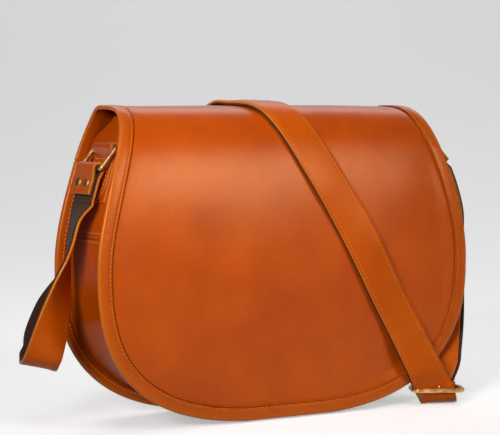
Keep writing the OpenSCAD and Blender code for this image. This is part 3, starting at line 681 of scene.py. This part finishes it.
strap = {
    "width": 30.0, "leather": 2.0, "webbing": 1.4, "gap": 0.05,
    "webInset": 0.4,                        # how much narrower the webbing is
    "crown": 0.55,                          # how much the leather stands up in the middle
    "corner": 0.5, "webCorner": 0.4,        # how rounded their edges are
    "rubHighlightIn": 0.4, "rubHighlightFade": 0.3, "rubHighlightShare": 0.9,      # how far in the leather's cut edges are lighter, rubbed and with a painted highlight
    "stitchInset": 2.9, "stitchPitch": 3.7,
    "webShift": 0.8,                        # how far the long strap's webbing shows on its left
    "riseShift": 1.6,                       # the same where it rises behind the bag
    "riseIn": 8, "riseOut": 40,             # over so many rows at its ends that fades
    "dentMm": 0.35, "dentTurn": 0.05,       # how far old folds dent the run in front, and turn it
    "dentTop": 210.0, "dentLow": 25.0, "dentFade": 30.0, "dentFront": -30.0,
    "dentWave": 13.0, "turnWave": 21.0,
    "bare": 3.0,                            # webbing that shows beyond the side strap's leather
    "bareTop": 105.0, "bareFade": 40.0,
    "sideSplit": 112.0,                     # where the side strap's upper piece ends
}

# the strap's middle line in mm, each point with the way that its leather faces
backTable = [
    [-166.3, 2.8, 160, 0.9, -0.25, -0.33], [-170.9, 2.8, 141.1, 0.92, -0.363, -0.15],
    [-174.9, 3.3, 121.4, 0.777, -0.621, -0.099], [-181.5, 0.1, 100.4, 0.489, -0.87, -0.069],
    [-189.5, -4.5, 80.5, 0.184, -0.981, -0.059], [-196.5, -6.7, 62.3, -0.05, -0.98, -0.2],
    [-198, -2, 54.2, -0.2, -0.7, -0.7], [-196.5, 4.5, 52.9, -0.35, 0, -0.93],
    [-192.5, 11.5, 57.5, -0.4, 0.65, -0.6], [-187.4, 21.5, 65.5, -0.3, 0.87, -0.4],
    [-178.5, 33, 75, -0.2, 0.95, -0.2], [-167.2, 43.3, 86, -0.08, 0.99, -0.08], [-153.7, 47.2, 99, 0, 1, 0],
    [-137.2, 47, 114, 0, 1, 0], [-120, 46.4, 131.5, 0, 1, 0], [-98, 45.8, 150, 0, 1, 0],
    [-78, 45.1, 169, 0, 1, 0], [-61, 44.6, 187, 0, 1, 0],
]
runTable = [
    [-46, 44.3, 204, 0, 1, 0.001], [-39.1, 43.6, 215.3, 0, 0.992, 0.13],
    [-32.1, 41.3, 226.4, 0, 0.957, 0.29], [-25.3, 36.8, 237, 0, 0.868, 0.496],
    [-18.8, 29.2, 246.1, 0, 0.609, 0.793], [-12.8, 17.6, 249.8, 0, 0.001, 1],
    [-8.3, 6.5, 249.7, 0, -0.025, 1], [-4.5, -4.7, 248.9, 0, -0.147, 0.989],
    [-0.7, -15.9, 245.8, 0, -0.407, 0.914], [3.4, -25.6, 239.2, 0, -0.695, 0.719],
    [9.6, -33.2, 229.1, 0, -0.872, 0.489], [17.1, -38.9, 215.8, 0, -0.951, 0.308],
    [30.4, -44, 193, 0, -0.989, 0.151], [57.3, -47.8, 150, 0, -0.999, 0.034],
    [84.3, -49, 100.9, 0, -1, 0.001], [105.2, -48.7, 65.7, 0, -0.998, -0.06],
    [115.9, -49.6, 46.5, -0.05, -1, 0], [124, -50.3, 33, -0.16, -0.98, 0],
    [131.3, -48.4, 21.8, -0.36, -0.93, 0], [138.2, -47, 13, -0.454, -0.891, 0],
    [141.7, -46.3, 6.4, -0.386, -0.757, -0.5], [144.9, -43, 3.6, -0.182, -0.356, -0.92],
    [147.8, -38.5, 3, 0, 0, -1], [150.3, -33.3, 4, 0.182, 0.356, -0.92],
    [151.5, -29.4, 7.6, 0.386, 0.757, -0.5], [150.9, -28, 13.8, 0.454, 0.891, -0.1],
    [149.3, -27.4, 21, 0.454, 0.891, -0.15], [151.6, -27, 31, 0.42, 0.86, -0.28],
    [156.4, -25, 42, 0.48, 0.8, -0.36], [164.9, -20.2, 55, 0.6, 0.68, -0.42],
    [174.9, -13.6, 69, 0.76, 0.5, -0.42],
]
shortTable = [
    [187, 3, 177, -1, 0, -0.12], [192.5, 3, 157, -1, 0, 0], [191.3, 2.2, 136, -0.998, -0.07, 0],
    [187.8, -1, 114, -0.982, -0.191, 0], [182.2, -7, 92, -0.934, -0.358, 0],
    [174.7, -15, 74, -0.839, -0.545, 0], [166.1, -24, 58, -0.707, -0.707, 0],
    [158.8, -31.6, 44, -0.574, -0.819, 0], [154, -36.5, 34.5, -0.5, -0.866, 0],
    [147.6, -38, 24, -0.454, -0.891, 0],
]


def smoothRows(rows, steps=12):
    # a smooth line through every row
    rows = np.asarray(rows, float)
    result = []
    for i in range(len(rows) - 1):
        a, b, c, d = rows[max(0, i - 1)], rows[i], rows[i + 1], rows[min(len(rows) - 1, i + 2)]
        for t in np.arange(steps) / steps:
            result.append(0.5 * (2 * b + (c - a) * t + (2 * a - 5 * b + 4 * c - d) * t ** 2
                                 + (3 * b - 3 * c + d - a) * t ** 3))
    return np.array(result + [rows[-1]])


def strapFrames(rows):
    path = rows[:, :3]
    way = unit(np.gradient(path, axis=0))
    side = unit(np.cross(way, rows[:, 3:]))
    return path, side, np.cross(side, way)


def strapSection(width, low, high, crown, corner):
    # a flat strap cut across: the upper face, an edge, the lower face, the other edge
    half, cut = width / 2, 0.15
    edge = [(half - cut, high - cut * corner), (half, high - corner), (half, low + corner),
            (half - cut, low + cut * corner)]
    upper = [(x, high + crown * (1 - (x / half) ** 2)) for x in np.linspace(corner - half, half - corner, 11)]
    lower = [(x, low) for x in np.linspace(half - corner, corner - half, 7)]
    return np.array(upper + edge + lower + [(-x, y) for x, y in reversed(edge)])


def edgeRubAndHighlight(section, width):
    # only the cut edges are lighter: rubbed, and with a painted highlight
    fromEdge = np.abs(section[:, 0]) - (width / 2 - strap["rubHighlightIn"])
    return np.clip(fromEdge / strap["rubHighlightFade"], 0, 1) * strap["rubHighlightShare"]


def ribbonPair(name, rows, bare, webShift):
    # leather over webbing along one line. bare is how much webbing shows beyond the leather's outer edge,
    # and webShift how far it shows at the other; both may change from row to row
    path, side, up = strapFrames(rows)
    width, gap = strap["width"], strap["gap"]
    bare, webShift = (np.broadcast_to(value, len(rows)) for value in (bare, webShift))
    leatherSection = strapSection(width, gap, gap + strap["leather"], strap["crown"], strap["corner"])
    webSection = strapSection(width - strap["webInset"], -gap - strap["webbing"], -gap, 0, strap["webCorner"])
    # the leather's cut edges lighter, rubbed and with a painted highlight
    leather = sweep(name + "Leather", path + side * bare[:, None] / 2, side, up, leatherSection, strapLeather,
                    edgeRubAndHighlight(leatherSection, width), (width - bare) / width)
    web = sweep(name + "Webbing", path + side * webShift[:, None], side, up, webSection, cottonWebbing)
    return leather, web


def planeRibbon(name, line, place, width, low, high, material, roundTip=0.0):
    # a strip that bends in one plane: line is [out, up] points, place turns them into space
    line = evenly(line, step=0.7)
    path = np.array([place(u, 0, w) for u, w in line])
    up = np.array([place(u, 0, w) for u, w in line + lineNormals(line)]) - path
    side = np.array([place(u, 1, w) for u, w in line]) - path
    section = strapSection(width, low, high, 0, strap["webCorner"])
    widths = 1.0
    if roundTip:
        run = runAlong(line)
        left = np.clip(1 - (run[-1] - run) / roundTip, 0, 1)
        widths = np.sqrt(np.clip(1 - left ** 2, 0.01, 1))
    # leather only: its cut edges lighter, rubbed and with a painted highlight
    worn = None if material is cottonWebbing else edgeRubAndHighlight(section, width)
    return sweep(name, path, side, up, section, material, worn, widths)


ringAxis = {"x": 139.381, "y": 3.0, "z": 216.0, "length": 21.0, "wire": 1.7}    # as in the part's source
# a strap end folded over each ring: how the ring hangs in degrees, and how the end leans outwards
ringEnds = {
    "Left": {"side": -1, "body": "left_ring", "tilt": 40.0, "lean": 17.0},
    "Right": {"side": 1, "body": "right_ring", "tilt": 88.0, "lean": 45.0},
}
foldLength, slack = 21.0, 0.1                     # slack is between a wire and what is folded over it
webHalf = strap["webbing"] / 2
endMiddle = ringAxis["wire"] + slack + webHalf    # the webbing's middle around the ring's wire
endTouch = webHalf + strap["gap"]                 # where the leather starts on the webbing's middle
mainLength = foldLength + 2.0


def onSide(side, x, z, lean):
    # turns [out, across, up] from a place on the bag's side into space, leaning outwards
    c, s = math.cos(math.radians(lean)), math.sin(math.radians(lean))

    def place(u, v, w):
        return np.array([side * (x + u * c - w * s), ringAxis["y"] + v * side, z + u * s + w * c])
    return place


def onRing(end):
    # from the ring's lower bar
    tilt = math.radians(end["tilt"])
    return onSide(end["side"], ringAxis["x"] + ringAxis["length"] * math.sin(tilt),
                  ringAxis["z"] - ringAxis["length"] * math.cos(tilt), end["lean"])


def endRows(label):
    # the first rows of a strap, where it leaves its folded end
    place = onRing(ringEnds[label])
    facing = place(-1, 0, 0) - place(0, 0, 0)
    pastFold = (0.1, 3, 6)
    return [[*place(-endTouch - webHalf, 0, -mainLength - past), *facing] for past in pastFold]


# the buckle's heel bar, as in the part's source, and the end of the side strap around it
heel = {"x": 147.16, "y": -33.84, "z": 13.0, "turn": math.radians(27), "bar": 2.0,
        "shift": 1.95,         # how far the strap sits off the bar's middle, along it
        "clear": 0.8}          # where the side strap ends above the loop, clear of the lifted prong
heelTurn = heel["bar"] + slack + webHalf
heelRise = 1.8 * heelTurn


def atHeel(u, v, w):
    c, s = math.cos(heel["turn"]), math.sin(heel["turn"])
    v = v + heel["shift"]
    return np.array([heel["x"] + v * c + u * s, heel["y"] - v * s + u * c, heel["z"] + w])


def heelRow(rise):
    return [*atHeel(-heelTurn - webHalf, 0, rise), -math.sin(heel["turn"]), -math.cos(heel["turn"]), 0]


backRows = smoothRows(endRows("Left") + backTable + runTable[:2])
pastHinge = (backRows[:, 2] >= bag["hinge"]) & (np.arange(len(backRows)) > len(backRows) // 2)
backRows = backRows[:int(np.argmax(pastHinge))]
turnAt = int(np.argmin(backRows[:, 2]))
dropRows, riseRows = backRows[:turnAt + 1], backRows[turnAt:]
fromLow, fromTop = np.arange(len(riseRows)), len(riseRows) - np.arange(len(riseRows))
riseShift = (strap["riseShift"] * np.clip(fromLow / strap["riseIn"], 0, 1)
             * np.clip(fromTop / strap["riseOut"], 0, 1))

runRows = smoothRows([backTable[-1]] + runTable)
runRows = runRows[int(np.argmax(runRows[:, 2] >= bag["hinge"])):]
# in front of the bag the strap is dented a little where it has been folded
along, height = runAlong(runRows[:, :3]), runRows[:, 2]
dented = (np.clip((strap["dentTop"] - height) / strap["dentFade"], 0, 1)
          * np.clip((height - strap["dentLow"]) / strap["dentFade"], 0, 1)
          * (runRows[:, 1] < strap["dentFront"]))
runRows[:, 1] -= strap["dentMm"] * dented * (1 + np.sin(along / strap["dentWave"] + 1.0))
runRows[:, 3] += strap["dentTurn"] * dented * np.sin(along / strap["turnWave"])

sideRows = smoothRows(endRows("Right") + shortTable
                      + [heelRow(1.4 * heelRise), heelRow(heelRise + heel["clear"])])
splitAt = int(np.argmax(sideRows[:, 2] < strap["sideSplit"]))
splitPoint = tuple(sideRows[splitAt, :3] * mm)
sideBare = strap["bare"] * np.clip((strap["bareTop"] - sideRows[:, 2]) / strap["bareFade"], 0, 1)

# each length of strap: its line, what carries it, its CAD nodes, how it bends, what webbing shows at the
# right and at the left, and its thread
strapLengths = {
    "strapDrop": (dropRows, "left_ring", "strap_back_",
                  {"other": "bag", "start": (-0.166, 0, 0.168), "end": (-0.196, 0, 0.075)},
                  0, 0, darkerThread),
    "strapRise": (riseRows, "bag", None, {}, 0, riseShift, darkerThread),
    "strapRun": (runRows, "bag", "strap_run_", flapBend, 0, strap["webShift"], waxedThread),
    "sideStrapUpper": (sideRows[:splitAt + 1], "right_ring", "short_",
                       {"other": "bag", "start": (0.176, 0.003, 0.19), "end": splitPoint},
                       sideBare[:splitAt + 1], 0, darkerThread),
    "sideStrapLower": (sideRows[splitAt:], "bag", None,
                       {"other": "flap", "start": splitPoint, "end": (0.152, -0.037, 0.03)},
                       sideBare[splitAt:], 0, darkerThread),
}
for name, (rows, body, node, bends, bare, webShift, yarn) in strapLengths.items():
    leather, web = ribbonPair(name, rows, bare, webShift)
    settle(leather, body, "strap_leather", *([node + "leather"] if node else []), **bends)
    settle(web, body, "webbing", *([node + "webbing"] if node else []), **bends)


def foldedEnd(start, label, line, place, low, body):
    # a strap's end folded over a bar: the webbing inside, the leather around it from low
    node = "_" + label.lower() if label else ""
    leather = planeRibbon(start + "Leather" + label, line, place, strap["width"], low, low + strap["leather"],
                          strapLeather)
    web = planeRibbon(start + "Webbing" + label, line, place, strap["width"] - strap["webInset"],
                      -webHalf, webHalf, cottonWebbing)
    settle(leather, body, "strap_leather", start + "_leather" + node)
    settle(web, body, "webbing", start + "_webbing" + node)


def arc(radius, first, last):
    # points around a bar, every ten degrees
    step = 10 if last > first else -10
    turn = np.radians(np.arange(first, last + step / 10, step))
    return [(radius * math.cos(t), radius * math.sin(t)) for t in turn]


endLow = -2.9 * endMiddle
endLine = [(-endTouch, -mainLength), (-endTouch, endLow), *arc(endMiddle, 200, -20),
           (endTouch, endLow), (endTouch, -foldLength)]
for label, end in ringEnds.items():
    foldedEnd("end", label, endLine, onRing(end), endTouch, end["body"])

heelLine = [(-heelTurn, heelRise - 0.1), (-heelTurn, 0), *arc(heelTurn, 190, 350),
            (heelTurn, 0), (heelTurn, heelRise)]
foldedEnd("heel", "", heelLine, atHeel, -endTouch - strap["leather"], "flap")
print("saddle bag: straps made")

tab = {"width": 32.0, "length": 43.0, "leather": 2.0, "loopIn": 2.05, "lean": 17.031,
       # its stitches, from the ring's axis, and how far under the loop their row across lies
       "stitchHalf": 13.0, "stitchTop": -12.5, "stitchTurn": -27.0, "stitchUnder": 1.5}
tabMiddle = tab["loopIn"] + tab["leather"] / 2
tabFront = tab["leather"] / 2 - tab["loopIn"] + slack
tabFold = -2.6 * tabMiddle      # where the loop closes
tabLine = [(-tabMiddle, -tab["length"]), (-tabMiddle, -tabMiddle), *arc(tabMiddle, 180, -30),
           (tabFront, tabFold), (tabFront, -tab["length"])]
onWall = {side: onSide(side, ringAxis["x"], ringAxis["z"], tab["lean"]) for side in (-1, 1)}
for label, end in ringEnds.items():
    piece = planeRibbon("ringTab" + label, tabLine, onWall[end["side"]], tab["width"], -tab["leather"] / 2,
                        tab["leather"] / 2, pullUpLeather, tab["width"] / 2)
    settle(piece, "bag", "leather", "ring_tab_" + label.lower())

# the pocket on the inside of the back
pocket = {"wide": 165.0, "low": 69.3, "high": 178.2, "round": 14.0, "leather": 1.1, "rim": 0.3, "y": 39.4}
half, corner = pocket["wide"] / 2, pocket["round"]
pocketLine = [(half, pocket["high"])]
pocketLine += [(half - corner + corner * math.cos(t), pocket["low"] + corner - corner * math.sin(t))
               for t in np.linspace(0, math.pi / 2, 7)]
pocketLine += [(-x, z) for x, z in reversed(pocketLine)]
innerPocket = meshPiece("innerPocket", [(x, pocket["y"], z) for x, z in pocketLine],
                        [range(len(pocketLine))], liningLeather, smooth=False)
settle(thicken(innerPocket, pocket["leather"], pocket["rim"]), "bag", "leather_inner", "inner_pocket")
print("saddle bag: tabs and pocket made")

thread = {
    "length": 2.35, "width": 0.8, "height": 0.6,      # one stitch, in mm
    "pitch": 3.4, "slant": 0.22,
    "proud": 0.1,                                     # how far its middle stands off the leather
}


def stitchTree():
    # a short rounded stitch on every point, turned along the seam and out of the leather
    tree = bpy.data.node_groups.new("stitchRow", "GeometryNodeTree")
    tree.interface.new_socket("Geometry", in_out="INPUT", socket_type="NodeSocketGeometry")
    for label in ("Length", "Width", "Height"):
        socket = tree.interface.new_socket(label, in_out="INPUT", socket_type="NodeSocketFloat")
        socket.default_value = thread[label.lower()] * mm
    tree.interface.new_socket("Material", in_out="INPUT", socket_type="NodeSocketMaterial")
    tree.interface.new_socket("Geometry", in_out="OUTPUT", socket_type="NodeSocketGeometry")
    source = addNode(tree, "NodeGroupInput").outputs
    ball = addNode(tree, "GeometryNodeMeshUVSphere", None, {"Segments": 8, "Rings": 5, "Radius": 0.5})
    size = addNode(tree, "ShaderNodeCombineXYZ", None,
                   {"X": source["Length"], "Y": source["Width"], "Z": source["Height"]})
    shaped = addNode(tree, "GeometryNodeTransform", None,
                     {"Geometry": ball.outputs["Mesh"], "Scale": size.outputs["Vector"]})
    vector = {"data_type": "FLOAT_VECTOR"}
    along, facing = (addNode(tree, "GeometryNodeInputNamedAttribute", vector, {"Name": name})
                     for name in ("along", "facing"))
    turn = addNode(tree, "FunctionNodeAxesToRotation", {"primary_axis": "Z", "secondary_axis": "X"},
                   {"Primary Axis": facing.outputs["Attribute"],
                    "Secondary Axis": along.outputs["Attribute"]})
    copies = addNode(tree, "GeometryNodeInstanceOnPoints", None,
                     {"Points": source["Geometry"], "Instance": shaped.outputs["Geometry"],
                      "Rotation": turn.outputs["Rotation"]})
    real = addNode(tree, "GeometryNodeRealizeInstances", None, {"Geometry": copies.outputs["Instances"]})
    smooth = addNode(tree, "GeometryNodeSetShadeSmooth", None, {"Geometry": real.outputs["Geometry"]})
    painted = addNode(tree, "GeometryNodeSetMaterial", None,
                      {"Geometry": smooth.outputs["Geometry"], "Material": source["Material"]})
    addNode(tree, "NodeGroupOutput", None, {"Geometry": painted.outputs["Geometry"]})
    return tree


stitchGroup = stitchTree()


def seamPoints(line, facing, pitch=thread["pitch"], lift=thread["proud"]):
    # places for stitches an even pitch apart along a line on a surface
    joined = evenly(np.hstack([line, facing]), pitch)
    place, normal = joined[:, :3], unit(joined[:, 3:])
    along = unit(np.gradient(place, axis=0))
    along = unit(along + thread["slant"] * np.cross(normal, along))
    return place + normal * lift, along, normal


def stitchPiece(name, seams, yarn):
    place, along, facing = (np.vstack([seam[column] for seam in seams]) for column in range(3))
    mesh = bpy.data.meshes.new(name)
    mesh.from_pydata([tuple(v) for v in place * mm], [], [])
    for label, values in (("along", along), ("facing", facing)):
        layer = mesh.attributes.new(label, "FLOAT_VECTOR", "POINT")
        layer.data.foreach_set("vector", values.astype(np.float32).ravel())
    piece = bpy.data.objects.new(name, mesh)
    bpy.context.scene.collection.objects.link(piece)
    modifier = piece.modifiers.new("stitches", "NODES")
    modifier.node_group = stitchGroup
    for socket in stitchGroup.interface.items_tree:
        if socket.in_out == "INPUT" and socket.name != "Geometry":
            isYarn = socket.name == "Material"
            modifier[socket.identifier] = yarn if isYarn else thread[socket.name.lower()] * mm
    applied(piece)
    for label in ("along", "facing"):
        if label in piece.data.attributes:
            piece.data.attributes.remove(piece.data.attributes[label])
    return piece


def strapSeams(rows, bare):
    # a seam near each edge of the leather
    path, side, up = strapFrames(rows)
    over = strap["gap"] + strap["leather"] + thread["proud"]
    seams = []
    for sign in (-1, 1):
        shift = sign * (strap["width"] / 2 - strap["stitchInset"]) + bare * (sign < 0) * np.ones(len(path))
        line = path + side * shift[:, None] + up * over
        seams.append(seamPoints(line[2:-2], up[2:-2], strap["stitchPitch"], lift=0.05))
    return seams


for name, (rows, body, node, bends, bare, webShift, yarn) in strapLengths.items():
    settle(stitchPiece(name + "Stitches", strapSeams(rows, bare), yarn), body, "strap_leather", **bends)

# around the flap, in the groove of its binding
line, out, facing = flapFrames
grooveLift = bindings["cover"] - bindings["dip"] + 0.05
seam = seamPoints(line - out * bindings["flapSeam"] + facing * grooveLift, facing)
settle(stitchPiece("flapStitches", [seam], waxedThread), "bag", "binding", **flapBend)

# around the back, on both sides of its binding
line, out, facing = backFrames
seat = line - out * bindings["bodySeam"]
backLift = bindings["bodyWraps"] + bindings["cover"] + thread["proud"]
bodySeams = [seamPoints(seat + facing * grooveLift, facing), seamPoints(seat - facing * backLift, -facing)]
for side, place in onWall.items():
    # the gusset's two rows at its lap seam
    for height in gusset["lapRows"]:
        y = np.linspace(gusset["lapFront"], gusset["lapBack"], 40)
        x = float(halfWidth(bag["halfWidth"], bag["baseHeight"], height)) - gusset["lapIn"]
        line = np.stack([np.full(len(y), side * x), y, np.full(len(y), height)], 1)
        bodySeams.append(seamPoints(line, np.tile([side, 0, 0.1], (len(y), 1))))
    # the tab's row under the ring, and the row down its sides and around its tip
    half, top, low = tab["stitchHalf"], tab["stitchTop"], tab["stitchTurn"]
    across = [(v, tabFold - tab["stitchUnder"]) for v in np.linspace(-half, half, 20)]
    around = [(half, top), (half, low)]
    around += [(half * math.cos(t), low - half * math.sin(t)) for t in np.linspace(0, math.pi, 40)[1:]]
    around += [(-half, top)]
    for row in (across, around):
        line = np.array([place(tabFront + tab["leather"] / 2, v, w) for v, w in row])
        bodySeams.append(seamPoints(line, np.tile(place(1, 0, 0) - place(0, 0, 0), (len(line), 1))))
settle(stitchPiece("bodyStitches", bodySeams, paleThread), "bag", "binding")
print("saddle bag: stitches made")

# the metal keeps its CAD mesh
metalNodes = {
    antiqueBrass: ["ring_left", "ring_right", "buckle_frame", "buckle_prong"],
    agedBronze: ["tab_rivet_left", "tab_rivet_right", "end_rivets_left", "end_rivets_right"],
    brushedSteel: ["snap_flap_half", "snap_body_half"],
}
for metal, nodes in metalNodes.items():
    for node in nodes:
        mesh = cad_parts[node].data
        mesh.materials.clear()
        mesh.materials.append(metal)

studio = {
    "cameraMm": (-762.8, -1254.7, 246.8), "pitch": 3.473, "yaw": 30.882, "lensMm": 131.18,
    # the paper in metres: flat to paperFlat behind the bag, then a bend of this radius
    "paperFlat": 1.1, "paperBend": 1.6, "paperTall": 5.0, "paperFront": -5.0, "paperHalf": 9.0,
    "near": "#F4F4F4", "far": "#F0F0F0", "shadeFrom": -0.2, "shadeTo": 1.6,    # its tones by depth in metres
    "grey": "#585C5E", "greyFrom": -1.1, "greyTo": -0.2,                       # its tone in front of the bag
    "bounce": "#505050",                                                       # its tone to diffuse light
    "lift": 0.42, "liftFrom": 0.2, "liftTo": 2.5,                              # how much brighter it is seen
    "worldColor": "#F2F3F5", "worldStrength": 0.15,
    # softboxes: name, place, what it points at, size in m, power in W, how far its grid lets it fan out
    "boxes": [("keyBox", (-0.74, -0.64, 0.44), (-0.03, -0.04, 0.15), (0.32, 0.32), 0.49, 36),
              ("glowBox", (0.66, -1.40, 0.62), (-0.05, -0.04, 0.20), (0.55, 0.6), 0.6, 40),
              ("topBox", (-0.5, -1.0, 1.6), (-0.45, -1.0, 0), (1.5, 1.0), 7.0, 180),
              ("paperBox", (0.95, 1.6, 1.9), (1.05, 1.8, 0.1), (3.2, 1.6), 31, 180)],
}
camera = bpy.data.objects.new("camera", bpy.data.cameras.new("camera"))
bpy.context.scene.collection.objects.link(camera)
camera.location = [c * mm for c in studio["cameraMm"]]
camera.rotation_euler = (math.radians(90 - studio["pitch"]), 0, -math.radians(studio["yaw"]))
camera.data.lens, camera.data.sensor_width = studio["lensMm"], 36
bpy.context.scene.camera = camera
yawCos, yawSin = math.cos(math.radians(studio["yaw"])), math.sin(math.radians(studio["yaw"]))


def paperMaterial():
    # matt pulp paper, a little darker towards the back
    material, tree, shader = newMaterial("studioPaper", {"Roughness": 0.95, "Specular IOR Level": 0.05})
    place = addNode(tree, "ShaderNodeTexCoord").outputs["Object"]
    split = addNode(tree, "ShaderNodeSeparateXYZ", None, {"Vector": place})
    side = addNode(tree, "ShaderNodeMath", {"operation": "MULTIPLY"}, {0: split.outputs["X"], 1: yawSin})
    depth = addNode(tree, "ShaderNodeMath", {"operation": "MULTIPLY_ADD"},
                    {0: split.outputs["Y"], 1: yawCos, 2: side.outputs[0]}).outputs[0]
    shade, front, lift = (
        addNode(tree, "ShaderNodeMapRange", {"interpolation_type": "SMOOTHSTEP"},
                {"Value": depth, "From Min": studio[start], "From Max": studio[end],
                 "To Min": first, "To Max": last}).outputs["Result"]
        for start, end, first, last in (("shadeFrom", "shadeTo", 0.0, 1.0), ("greyFrom", "greyTo", 0.0, 1.0),
                                        ("liftFrom", "liftTo", studio["lift"], 0.0)))
    color = addNode(tree, "ShaderNodeMix", rgba,
                    {mixShare: shade, mixFirst: studio["near"], mixSecond: studio["far"]}).outputs[mixResult]
    # in front of the bag, out of the picture, the paper is greyer, so that it doesn't veil the leather
    color = addNode(tree, "ShaderNodeMix", rgba,
                    {mixShare: front, mixFirst: studio["grey"], mixSecond: color}).outputs[mixResult]
    # the camera and what shines see it this pale, but it throws little light back at the leather
    seen = addNode(tree, "ShaderNodeLightPath").outputs
    shiny = addNode(tree, "ShaderNodeMath", {"operation": "MAXIMUM"},
                    {0: seen["Is Glossy Ray"], 1: seen["Is Transmission Ray"]})
    direct = addNode(tree, "ShaderNodeMath", {"operation": "MAXIMUM"},
                     {0: seen["Is Camera Ray"], 1: shiny.outputs[0]}).outputs[0]
    color = addNode(tree, "ShaderNodeMix", rgba,
                    {mixShare: direct, mixFirst: studio["bounce"], mixSecond: color}).outputs[mixResult]
    # and they see it a little brighter than the lamps make it, most of all near the bag
    nearLift = addNode(tree, "ShaderNodeMath", {"operation": "MULTIPLY"}, {0: front, 1: lift})
    glow = addNode(tree, "ShaderNodeMath", {"operation": "MULTIPLY"}, {0: direct, 1: nearLift.outputs[0]})
    setInputs(tree, shader, {"Base Color": color, "Emission Color": "#FFFFFF",
                             "Emission Strength": glow.outputs[0]})
    return material


def paperPiece():
    # studio paper that runs under the bag and curves up behind it, square to the camera
    flat, bend, half = studio["paperFlat"], studio["paperBend"], studio["paperHalf"]
    line = [(studio["paperFront"], 0), (-1.0, 0)] + [(d, 0) for d in np.linspace(-0.6, flat, 8)]
    line += [(flat + bend * math.sin(t), bend - bend * math.cos(t))
             for t in np.linspace(0, math.pi / 2, 25)[1:]]
    line += [(flat + bend, studio["paperTall"])]
    verts = [(x * yawCos + d * yawSin, -x * yawSin + d * yawCos, z) for d, z in line for x in (-half, half)]
    meshPiece("studioPaper", np.array(verts) / mm, gridFaces(len(line), 2, True), paperMaterial())


paperPiece()


def softbox(name, place, aim, size, power, fan):
    light = bpy.data.lights.new(name, "AREA")
    light.shape, light.size, light.size_y = "RECTANGLE", *size
    light.energy, light.spread = power, math.radians(fan)
    lamp = bpy.data.objects.new(name, light)
    bpy.context.scene.collection.objects.link(lamp)
    lamp.location = place
    lamp.rotation_euler = (Vector(aim) - Vector(place)).to_track_quat("-Z", "Y").to_euler()


for box in studio["boxes"]:
    softbox(*box)

world = bpy.data.worlds.new("studioWorld")
bpy.context.scene.world = world
world.use_nodes = True
setInputs(world.node_tree, world.node_tree.nodes["Background"],
          {"Color": studio["worldColor"], "Strength": studio["worldStrength"]})
bpy.context.scene.view_settings.view_transform = "Standard"

print("saddle bag: done")
